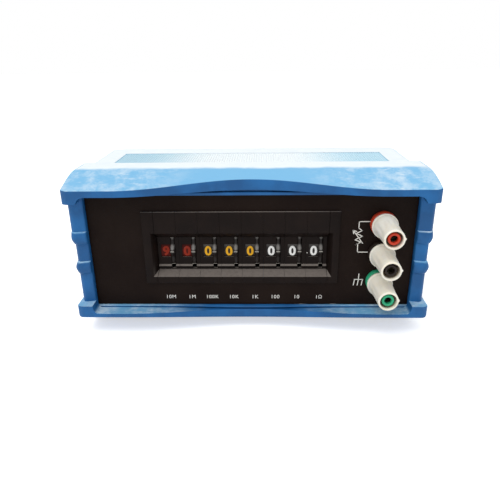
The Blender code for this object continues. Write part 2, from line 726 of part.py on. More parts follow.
def lay_on_panel(obj, z):
    obj.location = (post_x, panel_y, z)
    obj.rotation_euler = (math.radians(90), 0, 0)
    return obj


def binding_posts(colours, cream, nickel):
    shared = {"clamp_ring": (turned(ring_profile(), 20), nickel),
              "cap": (turned(cap_profile(), flute_count * 2, flute), cream),
              "stud": (turned(stud_profile(), 16), nickel)}
    for mesh, finish in shared.values():
        mesh.materials.append(finish)
    coloured = {"collar": turned(collar_profile(), 20), "socket_tip": turned(tip_profile(), 16)}
    nut_start = panel_thickness + clearance
    hole_y = clearance + collar_thickness + wire_hole_rise
    for name, z in post_places():
        for part, mesh in coloured.items():
            lay_on_panel(add_object(f"{name}_{part}", mesh.copy(), colours[name]), z)
        for part, (mesh, _) in shared.items():
            lay_on_panel(add_object(f"{name}_{part}", mesh), z)
        nut = prism(f"{name}_nut", circle((0, 0), nut_radius, 6), "Z", -nut_start - nut_height, -nut_start, nickel)
        nut_bore = prism(f"{name}_nut_bore", circle((0, 0), bore, 12), "Z",
                         -nut_start - nut_height - overrun, -nut_start + overrun)
        wire_hole = prism(f"{name}_wire_hole", circle((0, hole_y), wire_hole_radius, 8), "X",
                          -stud_radius - overrun, stud_radius + overrun)
        for obj in (nut, nut_bore, wire_hole):
            lay_on_panel(obj, z)
        cut(nut, nut_bore)
        cut(bpy.data.objects[f"{name}_stud"], wire_hole)


def clear_scene():
    for obj in list(bpy.data.objects):
        bpy.data.objects.remove(obj)


def build():
    clear_scene()
    blue = material("blue moulded case", (0.035, 0.16, 0.42), 0.4)
    black_paint = material("black painted panel", (0.012, 0.010, 0.009), 0.45)
    black = material("black switch plastic", (0.018, 0.017, 0.016), 0.4)
    wheel_black = material("black wheel plastic", (0.02, 0.02, 0.02), 0.3)
    rubber = material("dark rubber", (0.02, 0.02, 0.02), 0.8)
    board_green = material("circuit board", (0.03, 0.16, 0.06), 0.5)
    steel = material("plated steel", (0.6, 0.6, 0.58), 0.3, 1.0)
    nickel = material("nickel plate", (0.66, 0.63, 0.57), 0.25, 1.0)
    cream = material("cream cap plastic", (0.72, 0.68, 0.55), 0.4)
    colours = {"red": material("red insulator", (0.55, 0.03, 0.015), 0.4),
               "black": material("black insulator", (0.015, 0.015, 0.015), 0.4),
               "green": material("green insulator", (0.01, 0.25, 0.11), 0.4)}
    case_covers(blue)
    case_screws(steel)
    feet(rubber)
    body_sleeve(blue)
    front_panel(black_paint)
    rear_panel(black_paint)
    thumbwheel_bank(black, wheel_black, board_green, steel)
    binding_posts(colours, cream, nickel)
    shading = smooth_by_angle()
    for obj in bpy.data.objects:
        if not obj.hide_render:
            obj.modifiers.new("smooth by angle", "NODES").node_group = shading


build()
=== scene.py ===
# Decade resistance box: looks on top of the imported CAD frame. Metres, +Z up, the front looks along -Y.
import math

import bmesh
import bpy
from mathutils import Matrix, Vector


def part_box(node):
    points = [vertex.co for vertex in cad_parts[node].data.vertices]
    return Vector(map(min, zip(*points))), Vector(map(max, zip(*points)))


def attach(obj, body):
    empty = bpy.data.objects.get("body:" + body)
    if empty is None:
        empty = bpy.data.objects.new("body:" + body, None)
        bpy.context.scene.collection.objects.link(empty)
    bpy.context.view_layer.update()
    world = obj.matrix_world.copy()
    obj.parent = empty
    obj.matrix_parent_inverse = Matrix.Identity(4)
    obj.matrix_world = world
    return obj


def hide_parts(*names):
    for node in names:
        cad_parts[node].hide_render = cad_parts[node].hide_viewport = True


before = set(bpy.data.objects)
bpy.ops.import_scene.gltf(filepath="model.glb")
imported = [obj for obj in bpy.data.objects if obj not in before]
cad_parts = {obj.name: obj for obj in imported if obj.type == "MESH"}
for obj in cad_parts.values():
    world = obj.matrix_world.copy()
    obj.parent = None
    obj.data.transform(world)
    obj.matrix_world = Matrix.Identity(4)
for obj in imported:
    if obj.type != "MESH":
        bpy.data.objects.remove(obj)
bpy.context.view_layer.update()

# places that several pieces share
modules = {"count": 8, "pitch": 0.0127, "left": -0.05617}
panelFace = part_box("front_panel")[0].y
wheelAxis = sum(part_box("thumbwheel_1"), Vector()) / 2
postNames = ("red", "black", "green")
overrun = 0.002
clearance = 0.0003
softEdge = 0.00015
weld = 2e-6  # corners closer together than this are one
grille = {"width": 0.1646, "depth": 0.0285, "y": 0.00845, "flat": 0.0989, "recess": 0.0006, "pitch": 0.0015,
          "rib": 0.00085, "height": 0.0005, "endGap": 0.0006}


# mesh helpers

def addMesh(name, shape, body=None, material=None):
    bmesh.ops.remove_doubles(shape, verts=shape.verts, dist=1e-7)
    bmesh.ops.recalc_face_normals(shape, faces=shape.faces)
    mesh = bpy.data.meshes.new(name)
    shape.to_mesh(mesh)
    shape.free()
    return addObject(name, mesh, body, material)


def addObject(name, mesh, body=None, material=None):
    obj = bpy.data.objects.new(name, mesh)
    bpy.context.scene.collection.objects.link(obj)
    if material:
        mesh.materials.clear()
        mesh.materials.append(material)
    smooth(mesh)
    if body:
        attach(obj, body)
    return obj


def smooth(mesh, sharp=35):
    for face in mesh.polygons:
        face.use_smooth = True
    mesh.set_sharp_from_angle(angle=math.radians(sharp))


def arc(centre, radii, start, end, steps):
    turns = [math.radians(start + (end - start) * i / steps) for i in range(steps + 1)]
    return [(centre[0] + radii[0] * math.cos(t), centre[1] + radii[1] * math.sin(t)) for t in turns]


def mirrored(outline):
    return outline + [(-a, b) for a, b in reversed(outline) if a > 0]


def rectangle(lowA, highA, lowB, highB):
    return [(lowA, lowB), (highA, lowB), (highA, highB), (lowA, highB)]


def placed(point, axis, along):
    a, b = point
    return {"X": (along, a, b), "Y": (a, along, b), "Z": (a, b, along)}[axis]


def prismShape(outline, axis, start, end):
    shape = bmesh.new()
    face = shape.faces.new([shape.verts.new(placed(point, axis, start)) for point in outline])
    pushed = bmesh.ops.extrude_face_region(shape, geom=[face])["geom"]
    moved = [v for v in pushed if isinstance(v, bmesh.types.BMVert)]
    bmesh.ops.translate(shape, verts=moved, vec=placed((0, 0), axis, end - start))
    return shape


def prism(name, outline, axis, start, end):
    return addMesh(name, prismShape(outline, axis, start, end))


def block(name, low, high):
    return prism(name, rectangle(low[0], high[0], low[1], high[1]), "Z", low[2], high[2])


def skinned(shape, sections):  # faces between neighbouring sections, capped at both ends
    rings = [[shape.verts.new(point) for point in section] for section in sections]
    for first, second in zip(rings, rings[1:]):
        for i in range(len(first)):
            j = (i + 1) % len(first)
            shape.faces.new((first[i], first[j], second[j], second[i]))
    shape.faces.new(rings[0])
    shape.faces.new(list(reversed(rings[-1])))


def turned(profile, steps, reshape=None):
    # a closed profile of (radius, distance ahead of the panel), spun about an axis along -Y at the origin
    shape = bmesh.new()
    rows = [[shape.verts.new((r * math.cos(t), -d, r * math.sin(t))) for r, d in profile]
            for t in (math.tau * i / steps for i in range(steps))]
    count = len(profile)
    for i, row in enumerate(rows):
        after = rows[(i + 1) % steps]
        for j in range(count):
            k = (j + 1) % count
            shape.faces.new((row[j], row[k], after[k], after[j]))
    if reshape:
        for vert in shape.verts:
            reshape(vert.co)
    return shape


def filleted(outline, radii, steps=4, closed=True):  # an outline with its corners rounded
    points, count = [], len(outline)
    for i, corner in enumerate(outline):
        here = Vector(corner)
        if not radii[i] or (not closed and i in (0, count - 1)):
            points.append(tuple(here))
            continue
        before, after = Vector(outline[i - 1]) - here, Vector(outline[(i + 1) % count]) - here
        half = max(before.angle(after) / 2, 0.02)
        reach = min(radii[i] / math.tan(half), before.length * 0.48, after.length * 0.48)
        start, end = here + before.normalized() * reach, here + after.normalized() * reach
        for step in range(steps + 1):
            t = step / steps
            points.append(tuple(start * (1 - t) ** 2 + here * 2 * t * (1 - t) + end * t * t))
    return points


def boolean(target, other, operation):
    modifier = target.modifiers.new(operation, "BOOLEAN")
    modifier.object, modifier.operation, modifier.solver = other, operation, "EXACT"
    bake(target)
    bpy.data.objects.remove(other)


def bake(obj):  # turns an object's modifiers into plain mesh
    graph = bpy.context.evaluated_depsgraph_get()
    mesh = bpy.data.meshes.new_from_object(obj.evaluated_get(graph))
    obj.modifiers.clear()
    old, obj.data = obj.data, mesh
    bpy.data.meshes.remove(old)


def finished(obj, body, material):
    obj.data.materials.clear()
    obj.data.materials.append(material)
    smooth(obj.data)
    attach(obj, body)


def softened(node, material):  # a CAD node's shape with its edges broken
    shape = bmesh.new()
    shape.from_mesh(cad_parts[node].data)
    bmesh.ops.remove_doubles(shape, verts=shape.verts, dist=weld)
    bmesh.ops.dissolve_limit(shape, angle_limit=math.radians(1), verts=shape.verts, edges=shape.edges)
    bmesh.ops.recalc_face_normals(shape, faces=shape.faces)
    obj = addMesh(f"{node}_moulded", shape)
    bevel = obj.modifiers.new("soft edges", "BEVEL")
    bevel.width, bevel.segments, bevel.limit_method = softEdge, 2, "ANGLE"
    bevel.angle_limit = math.radians(40)
    bake(obj)
    finished(obj, "case", material)
    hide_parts(node)


# materials

def toLinear(code):
    channels = [int(code[i:i + 2], 16) / 255 for i in (1, 3, 5)]
    return tuple(c / 12.92 if c <= 0.04045 else ((c + 0.055) / 1.055) ** 2.4 for c in channels) + (1.0,)


def addNode(tree, kind, inputs=None, **settings):
    node = tree.nodes.new(kind)
    for key, value in settings.items():
        setattr(node, key, value)
    for key, value in (inputs or {}).items():
        if isinstance(value, bpy.types.NodeSocket):
            tree.links.new(value, node.inputs[key])
        else:
            node.inputs[key].default_value = value
    return node


def newMaterial(name, **values):
    made = bpy.data.materials.new(name)
    made.use_nodes = True
    tree = made.node_tree
    surface = tree.nodes["Principled BSDF"]
    for key, value in values.items():
        surface.inputs[key.replace("_", " ")].default_value = value
    where = addNode(tree, "ShaderNodeTexCoord")
    return made, tree, surface, where


def noise(tree, where, size, detail=4.0, roughness=0.55, seed=0.0):  # features about size metres across
    shift = (seed, seed * 0.7, seed * 1.3)
    moved = addNode(tree, "ShaderNodeVectorMath", {0: where.outputs["Object"], 1: shift}, operation="ADD")
    return addNode(tree, "ShaderNodeTexNoise", {"Vector": moved.outputs[0], "Scale": 1 / size,
                                                "Detail": detail, "Roughness": roughness}).outputs["Fac"]


def remap(tree, value, low, high, toLow=0.0, toHigh=1.0):
    node = addNode(tree, "ShaderNodeMapRange", {"Value": value, "From Min": low, "From Max": high,
                                                "To Min": toLow, "To Max": toHigh})
    node.interpolation_type = "SMOOTHSTEP"
    return node.outputs["Result"]


def mathNode(tree, operation, a, b=0.0):
    return addNode(tree, "ShaderNodeMath", {0: a, 1: b}, operation=operation).outputs[0]


def mix(tree, factor, first, second):
    node = addNode(tree, "ShaderNodeMix", data_type="RGBA")
    for key, value in ((0, factor), (6, first), (7, second)):
        if isinstance(value, bpy.types.NodeSocket):
            tree.links.new(value, node.inputs[key])
        else:
            node.inputs[key].default_value = value
    return node.outputs[2]


def addBump(tree, surface, height, distance):
    node = addNode(tree, "ShaderNodeBump", {"Height": height, "Distance": distance, "Strength": 1.0})
    tree.links.new(node.outputs[0], surface.inputs["Normal"])


def blueMoulding():
    # injection-moulded ABS: deep blue, with painted light on every face that looks up: painted sunlight on the
    # slopes, a painted near-white glare on the flat and the ribbed field, and painted glints towards the lip's
    # ends
    made, tree, surface, where = newMaterial("blue_abs", Specular_IOR_Level=0.3)
    normal = addNode(tree, "ShaderNodeSeparateXYZ", {0: where.outputs["Normal"]})
    place = addNode(tree, "ShaderNodeSeparateXYZ", {0: where.outputs["Object"]})
    height = place.outputs["Z"]
    cloud = noise(tree, where, 0.02, seed=3.0)
    grain = noise(tree, where, 0.0016, detail=3.0, seed=5.0)
    wobble = remap(tree, cloud, 0.3, 0.75, -0.01, 0.01)
    upward = mathNode(tree, "ADD", normal.outputs["Z"], wobble)
    outward = remap(tree, mathNode(tree, "ABSOLUTE", place.outputs["X"]), 0.022, 0.07)
    above = remap(tree, height, 0.0872, 0.0884)
    deep = mix(tree, remap(tree, cloud, 0.35, 0.7), toLinear("#17548b"), toLinear("#2268a5"))
    # painted sunlight: the slopes of the top face the sun and are painted light blue; low ledges get less of
    # it, and none behind the middle of the lip
    reached = mathNode(tree, "MAXIMUM", above, mathNode(tree, "MULTIPLY", outward, 0.75))
    paintedSunlight = mathNode(tree, "MULTIPLY", remap(tree, upward, 0.35, 0.88), reached)
    light = mix(tree, paintedSunlight, deep, toLinear("#7dbce4"))
    # painted glare: the flat of the top, facing straight up, is painted near white
    flat = mathNode(tree, "MULTIPLY", remap(tree, upward, 0.955, 0.996), above)
    pale = mix(tree, flat, light, toLinear("#f1f8fb"))
    # painted glints: cloudy pale patches towards the lip's ends, with fine streaks in them, on the faces that
    # look up
    patches = noise(tree, where, 0.009, detail=5.0, roughness=0.65, seed=11.0)
    streaks = addNode(tree, "ShaderNodeMapping", {"Vector": where.outputs["Object"],
                                                  "Scale": (160, 420, 420)})
    streakFac = addNode(tree, "ShaderNodeTexNoise", {"Vector": streaks.outputs[0], "Scale": 1.0, "Detail": 5.0,
                                                  "Roughness": 0.65}).outputs["Fac"]
    paintedGlints = mathNode(tree, "ADD", remap(tree, patches, 0.38, 0.72, 0.0, 0.5),
                     remap(tree, streakFac, 0.5, 0.75, 0.0, 0.35))
    glintMask = mathNode(tree, "MULTIPLY", outward, remap(tree, upward, 0.4, 0.85))
    paintedGlints = mathNode(tree, "MULTIPLY", paintedGlints, glintMask)
    glinted = mix(tree, paintedGlints, pale, toLinear("#e6f1f7"))
    # painted glare: below the flat, the band of the ribbed field, with the shading of its walls painted over,
    # is near white in the middle and pale cyan at its ends
    behind = mathNode(tree, "ABSOLUTE", mathNode(tree, "SUBTRACT", place.outputs["Y"], grille["y"]))
    halfDepth, flatZ = grille["depth"] / 2, grille["flat"]
    inField = mathNode(tree, "MULTIPLY", remap(tree, behind, halfDepth + 0.0006, halfDepth + 0.0003),
                       remap(tree, height, flatZ - 0.00002, flatZ - 0.0001))
    field = mix(tree, mathNode(tree, "MULTIPLY", outward, 0.8), toLinear("#f2f8fa"), toLinear("#b4dcec"))
    coloured = mix(tree, mathNode(tree, "MULTIPLY", inField, above), glinted, field)
    tree.links.new(coloured, surface.inputs["Base Color"])
    tree.links.new(remap(tree, cloud, 0.3, 0.7, 0.42, 0.58), surface.inputs["Roughness"])
    addBump(tree, surface, grain, 0.00004)
    return made


scratches = {"middle": 0.044, "far": 0.034, "near": 0.022, "top": 0.0162, "bottom": 0.0157}


def blackPaint():
    # fine textured enamel on aluminium, warm black, scratched to bare metal along a stretch of its lower edge
    made, tree, surface, where = newMaterial("black_enamel", Specular_IOR_Level=0.06)
    place = addNode(tree, "ShaderNodeSeparateXYZ", {0: where.outputs["Object"]})
    fine = noise(tree, where, 0.0009, detail=2.0)
    broad = noise(tree, where, 0.03, seed=2.0)
    colour = mix(tree, remap(tree, broad, 0.3, 0.7), toLinear("#180f0c"), toLinear("#1f1612"))
    chips = addNode(tree, "ShaderNodeMapping", {"Vector": where.outputs["Object"], "Scale": (110, 110, 700)})
    worn = addNode(tree, "ShaderNodeTexNoise", {"Vector": chips.outputs[0], "Scale": 1.0, "Detail": 3.0})
    along = mathNode(tree, "ABSOLUTE", mathNode(tree, "SUBTRACT", place.outputs["X"], scratches["middle"]))
    edge = mathNode(tree, "MULTIPLY", remap(tree, place.outputs["Z"], scratches["top"], scratches["bottom"]),
                    remap(tree, along, scratches["far"], scratches["near"]))
    bare = mathNode(tree, "MULTIPLY", remap(tree, worn.outputs["Fac"], 0.55, 0.62), edge)
    tree.links.new(mix(tree, bare, colour, toLinear("#a59f97")), surface.inputs["Base Color"])
    tree.links.new(remap(tree, fine, 0.35, 0.65, 0.45, 0.6), surface.inputs["Roughness"])
    addBump(tree, surface, fine, 0.00005)
    return made


def sheenedNylon(name, sheen, starts, full, specular=0.08):
    # moulded black nylon: deep black, with a painted grey highlight, slightly mottled, on every face that looks
    # up
    made, tree, surface, where = newMaterial(name, Specular_IOR_Level=specular)
    normal = addNode(tree, "ShaderNodeSeparateXYZ", {0: where.outputs["Normal"]})
    drift = noise(tree, where, 0.012, seed=1.0)
    mottle = noise(tree, where, 0.0018, detail=3.0, seed=7.0)
    black = mix(tree, remap(tree, drift, 0.3, 0.7), toLinear("#140d0b"), toLinear("#1c1411"))
    paintedSheen = mathNode(tree, "MULTIPLY", remap(tree, normal.outputs["Z"], starts, full),
                       remap(tree, mottle, 0.2, 0.6, 0.8, 1.0))
    tree.links.new(mix(tree, paintedSheen, black, toLinear(sheen)), surface.inputs["Base Color"])
    tree.links.new(remap(tree, drift, 0.3, 0.7, 0.4, 0.5), surface.inputs["Roughness"])
    addBump(tree, surface, noise(tree, where, 0.0009, detail=2.0, seed=4.0), 0.00002)
    return made


def satinPlastic(name, first, second, roughness, specular=0.4, depth=0.00002):
    # injection-moulded plastic with slight tone drift and a faint grain
    made, tree, surface, where = newMaterial(name, Specular_IOR_Level=specular)
    drift = noise(tree, where, 0.012, seed=1.0)
    grain = noise(tree, where, 0.002, detail=2.0, seed=4.0)
    tree.links.new(mix(tree, remap(tree, drift, 0.3, 0.7), toLinear(first), toLinear(second)),
                   surface.inputs["Base Color"])
    tree.links.new(remap(tree, drift, 0.3, 0.7, roughness - 0.05, roughness + 0.05),
                   surface.inputs["Roughness"])
    addBump(tree, surface, grain, depth)
    return made


def agedCream():
    # ivory cap plastic, slightly translucent, with painted shade turning its hollows brown, inside the mouth
    # most of all
    made, tree, surface, where = newMaterial("aged_ivory_plastic", Roughness=0.42, Subsurface_Weight=0.08)
    surface.inputs["Subsurface Radius"].default_value = (0.004, 0.003, 0.002)
    drift = noise(tree, where, 0.008, seed=6.0)
    # painted shade: ambient occlusion darkens the hollows towards brown
    occlusion = addNode(tree, "ShaderNodeAmbientOcclusion", {"Distance": 0.004}, samples=8)
    unshaded = mix(tree, remap(tree, drift, 0.3, 0.7), toLinear("#fbf6ea"), toLinear("#f3ebd8"))
    shadedMouth = mix(tree, remap(tree, occlusion.outputs["AO"], 0.25, 0.65, 0.8, 0.0), unshaded, toLinear("#8a6a42"))
    tree.links.new(shadedMouth, surface.inputs["Base Color"])
    addBump(tree, surface, noise(tree, where, 0.0015, seed=8.0), 0.00003)
    return made


def nickelPlate(name, colour, roughness):
    # plated metal, softly dulled in patches
    made, tree, surface, where = newMaterial(name, Metallic=1.0, Roughness=roughness)
    dull = noise(tree, where, 0.003, seed=2.0)
    tree.links.new(mix(tree, remap(tree, dull, 0.3, 0.7), toLinear(colour), toLinear("#8f8b80")),
                   surface.inputs["Base Color"])
    tree.links.new(remap(tree, dull, 0.3, 0.7, roughness - 0.08, roughness + 0.1),
                   surface.inputs["Roughness"])
    return made


def printedInk(name, colour):
    # screen-printed ink with slightly uneven cover
    made, tree, surface, where = newMaterial(name, Roughness=0.55, Specular_IOR_Level=0.1)
    cover = noise(tree, where, 0.0012, seed=9.0)
    tree.links.new(mix(tree, remap(tree, cover, 0.15, 0.4), toLinear("#6f6a64"), toLinear(colour)),
                   surface.inputs["Base Color"])
    return made


def circuitBoard():
    # lacquered glass-fibre laminate with a woven grain
    made, tree, surface, where = newMaterial("circuit_laminate", Roughness=0.35)
    weave = addNode(tree, "ShaderNodeTexWave", {"Vector": where.outputs["Object"], "Scale": 900.0,
                                                "Distortion": 1.5})
    tree.links.new(mix(tree, weave.outputs["Fac"], toLinear("#1f5b33"), toLinear("#2a6f40")),
                   surface.inputs["Base Color"])
    return made


blue = blueMoulding()
enamel = blackPaint()
# the grey on the up-facing faces of the bank and the wheels is a painted highlight
switchBlack = sheenedNylon("black_nylon", "#756d67", 0.15, 0.6)
wheelBlack = sheenedNylon("black_acetal", "#8a8682", 0.15, 0.6, specular=0.22)
drumRed = satinPlastic("dark_red_acetal", "#43100a", "#521510", 0.45, specular=0.1)
rubberBlack = satinPlastic("black_rubber", "#141414", "#1c1c1c", 0.85, specular=0.2, depth=0.00006)
cream = agedCream()
nickel = nickelPlate("dulled_nickel", "#cfc6b2", 0.35)
zinc = nickelPlate("zinc_plate", "#c9c9c4", 0.4)
laminate = circuitBoard()
insulators = {"red": satinPlastic("red_insulator", "#c0361a", "#cf4527", 0.35, specular=0.3),
              "black": satinPlastic("black_insulator", "#1d1511", "#281e18", 0.4, specular=0.2),
              "green": satinPlastic("green_insulator", "#259b6e", "#33ae80", 0.35, specular=0.3)}
whiteInk = printedInk("white_ink", "#f2efe8")
print("stage: materials done")


# covers, the base being the top turned over

cover = {"height": 0.0121, "slopeDepth": 0.017, "crestDepth": 0.007, "rearSlope": 0.0125, "rearCrest": 0.004,
         "scoopHalf": 0.078, "scoopDepth": 0.0095, "arch": 0.0016, "stationGap": 0.00012,
         "bumperDepth": 0.0355, "half": 0.1045, "cornerRadius": 0.009, "cornerDepth": 0.0028, "cornerTurn": 52,
         "bumperShoulder": 0.005, "bodyHalf": 0.098, "bodyCorner": 0.012, "bodyShoulder": 0.0045,
         "shoulderHeight": 0.007, "seat": 0.0005, "wall": 0.0024, "lipCrease": 0.0008, "lipBack": 0.001,
         "front": -0.04005, "rear": 0.05695, "sleeveFront": -0.03135, "cavityFront": 0.0055,
         "cavityRear": 0.0031, "cavityInset": 0.0005, "wellX": 0.088, "wellY": (-0.01505, 0.03195),
         "wellRadius": 0.0031, "footX": 0.075, "footY": (-0.01205, 0.02895), "footSeat": 0.0013,
         "footRadius": 0.0063}
# the two mouldings differ a little at the lip; way is up or down
topShape = {"lip": 0.0868, "way": 1, "lipFace": 0.0037, "slopeRise": 0.007, "blend": 4,
            "earDrop": 0.0040, "earInner": 0.0963, "earSlope": 0.005}
baseShape = {"lip": 0.0146, "way": -1, "lipFace": 0.0024, "slopeRise": 0.0085, "blend": 2,
             "earDrop": 0.0050, "earInner": 0.0950, "earSlope": 0.003}


def wave(x):  # 1 in the middle of the front, 0 from the scoop's ends outwards
    return 0.5 + 0.5 * math.cos(math.pi * min(abs(x) / cover["scoopHalf"], 1.0))


def profileDrop(x, y, cast):  # how far the cover lies below its flat, by its nearer edge
    ahead, behind = y - cover["front"], rearEdge(x) - y
    d = min(ahead, behind)
    names = ("slopeDepth", "crestDepth") if ahead < behind else ("rearSlope", "rearCrest")
    slopeDepth, crestDepth = (cover[name] for name in names)
    slopeTop = cast["lipFace"] + cast["slopeRise"]
    if d < slopeDepth:
        return cover["height"] - cast["lipFace"] - d * cast["slopeRise"] / slopeDepth
    t = min((d - slopeDepth) / crestDepth, 1.0)
    return (cover["height"] - slopeTop) * (1 - t) ** 2


def shoulderDrop(x, half, inset):
    past = min(max((abs(x) - (half - inset)) / inset, 0.0), 1.0)
    return cover["shoulderHeight"] * (1 - math.sqrt(1 - past * past))


def coverHeight(x, y, half, inset, cast):
    drops = profileDrop(x, y, cast), shoulderDrop(x, half, inset)
    return cover["height"] - sum(d ** cast["blend"] for d in drops) ** (1 / cast["blend"])


def frontEdge(x):
    edge = cover["front"] + cover["scoopDepth"] * wave(x)
    radius = cover["cornerRadius"]
    past = (abs(x) - (cover["half"] - radius)) / radius
    turn = math.radians(cover["cornerTurn"])
    if past > math.cos(turn):
        edge += cover["cornerDepth"] * (math.sin(turn) - math.sqrt(max(1 - past * past, 0.0)))
    return edge


def rearEdge(x):
    past = max(abs(x) - (cover["bodyHalf"] - cover["bodyCorner"]), 0.0) / cover["bodyCorner"]
    return cover["rear"] - cover["bodyCorner"] * (1 - math.sqrt(max(1 - past * past, 0.0)))


def underside(x, cast):  # the lip's edge: an arch in the middle, ears curving down at the corners
    ear = min(max((abs(x) - cast["earInner"] + cast["earSlope"]) / cast["earSlope"], 0.0), 1.0)
    return cover["arch"] * wave(x) - cast["earDrop"] * (1 - math.sqrt(1 - ear * ear))


def between(start, end, count):
    return [start + (end - start) * i / count for i in range(1, count + 1)]


def coverStations(cast):  # places across the right half, closer together at the ear and at both corner rounds
    half, body, radius = cover["half"], cover["bodyHalf"], cover["cornerRadius"]
    inner = [0.0] + between(0.0, cover["scoopHalf"], 40)
    inner += between(cover["scoopHalf"], body - cover["bodyCorner"], 4)
    inner += [body - cover["bodyCorner"] * (1 - math.sin(math.radians(a))) for a in between(0, 90, 20)]
    inner += [cast["earInner"] - cast["earSlope"] * (1 - math.sin(math.radians(a))) for a in between(0, 90, 8)]
    turn = cover["cornerTurn"]
    crease = half - radius + radius * math.cos(math.radians(turn))
    outer = between(body, crease, 2)
    outer += [half - radius + radius * math.cos(math.radians(turn * (1 - a))) for a in between(0, 1, 14)]
    inner = sorted(set(round(x, 7) for x in inner))
    kept = [inner[0]]
    for x in inner[1:]:
        if x - kept[-1] > cover["stationGap"] or x == inner[-1]:
            kept.append(x)
    return kept, [round(x, 7) for x in outer]


def coverSection(x, wide, cast):
    # the cover's outline at x as (y, height), from the lip's edge over the top; the wide part comes first
    step = cover["front"] + cover["bumperDepth"]
    front, low = frontEdge(x), underside(x, cast)
    slopeEnd = cover["front"] + cover["slopeDepth"]
    crestEnd = slopeEnd + cover["crestDepth"]
    ys = [front] + between(front, slopeEnd, 10) + between(slopeEnd, crestEnd, 8) + between(crestEnd, step, 3)
    line = [(front, low)]
    line += [(y, coverHeight(x, y, cover["half"], cover["bumperShoulder"], cast)) for y in ys]
    line = filleted(line, [0, cover["lipCrease"]] + [0] * (len(line) - 2), closed=False)
    if wide:
        return line + [(step, low if abs(x) > cover["bodyHalf"] else cover["seat"])]
    rear = rearEdge(x)
    slopeStart = rear - cover["rearSlope"]
    crestStart = slopeStart - cover["rearCrest"]
    ys = [step] + between(step, crestStart, 4) + between(crestStart, slopeStart, 8)
    ys += between(slopeStart, rear, 8)
    body = [(y, coverHeight(x, y, cover["bodyHalf"], cover["bodyShoulder"], cast)) for y in ys]
    return line, body + [(rear, cover["seat"])]


def coverShell(name, cast):
    inner, outer = coverStations(cast)
    lipZ, way = cast["lip"], cast["way"]
    shape = bmesh.new()
    rows = []
    for x in [-x for x in reversed(inner) if x > 0] + inner:
        front, rear = coverSection(x, False, cast)
        low = underside(x, cast)
        stepY = panelFace
        if low <= cover["seat"]:
            stepY = max(cover["sleeveFront"], frontEdge(x) + cover["lipBack"])
        section = front + rear + [(stepY, cover["seat"]), (stepY, low)]
        rows.append([shape.verts.new((x, y, lipZ + way * h)) for y, h in section])
    count, frontCount = len(rows[0]), len(front)
    for first, second in zip(rows, rows[1:]):
        for i in range(count):
            j = (i + 1) % count
            shape.faces.new((first[i], first[j], second[j], second[i]))
    # the ears go on from the front part of the last sections, and the rear part is closed there
    for row, side in ((rows[0], -1), (rows[-1], 1)):
        edge = side * cover["bodyHalf"]
        step = cover["front"] + cover["bumperDepth"]
        foot = shape.verts.new((edge, step, lipZ + way * underside(edge, cast)))
        shape.faces.new(row[frontCount:count - 1] + [foot])
        ring = row[:frontCount] + [foot]
        shape.faces.new([row[count - 2], row[count - 1], row[0], foot])
        for x in outer:
            section = coverSection(x, True, cast)
            after = [shape.verts.new((side * x, y, lipZ + way * h)) for y, h in section]
            for i in range(len(ring)):
                j = (i + 1) % len(ring)
                shape.faces.new((ring[i], ring[j], after[j], after[i]))
            ring = after
        shape.faces.new(ring)
    bmesh.ops.remove_doubles(shape, verts=shape.verts, dist=weld)
    return addMesh(name, shape)


def cavity(cast):
    lipZ, way, wall = cast["lip"], cast["way"], cover["wall"]
    roof, low = lipZ + way * (cover["height"] - wall), lipZ - way * overrun / 2
    front, rear = cover["front"] + cover["scoopDepth"] + 2 * wall, cover["rear"] - 1.7 * wall
    bend = cover["slopeDepth"] + 1.5 * wall
    outline = [(front, low), (front, lipZ + way * cover["cavityFront"]), (cover["front"] + bend, roof),
               (cover["rear"] - bend, roof), (rear, lipZ + way * cover["cavityRear"]), (rear, low)]
    half = cover["bodyHalf"] - cover["bodyShoulder"] - cover["cavityInset"]
    return prism("cavity", outline, "X", -half, half)


def disc(name, x, y, radius, start, end):
    return prism(name, arc((x, y), (radius, radius), 0, 360, 32)[:-1], "Z", start, end)


def topCover():
    shell = coverShell("top_moulding", topShape)
    boolean(shell, cavity(topShape), "DIFFERENCE")
    halfX, halfY, y = grille["width"] / 2, grille["depth"] / 2, grille["y"]
    boolean(shell, block("field", (-halfX, y - halfY, grille["flat"] - grille["recess"]),
                         (halfX, y + halfY, grille["flat"] + overrun)), "DIFFERENCE")
    finished(shell, "case", blue)
    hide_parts("top_cover")


def baseCover():
    shell = coverShell("base_moulding", baseShape)
    boolean(shell, cavity(baseShape), "DIFFERENCE")
    flat = baseShape["lip"] - cover["height"]
    for x in (-cover["wellX"], cover["wellX"]):
        for y in cover["wellY"]:
            well = disc("well", x, y, cover["wellRadius"], flat - overrun, baseShape["lip"])
            boolean(shell, well, "DIFFERENCE")
    for x in (-cover["footX"], cover["footX"]):
        for y in cover["footY"]:
            seat = disc("seat", x, y, cover["footRadius"], flat - overrun, flat + cover["footSeat"])
            boolean(shell, seat, "DIFFERENCE")
    finished(shell, "case", blue)
    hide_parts("base_cover")


# fine ribs on the top

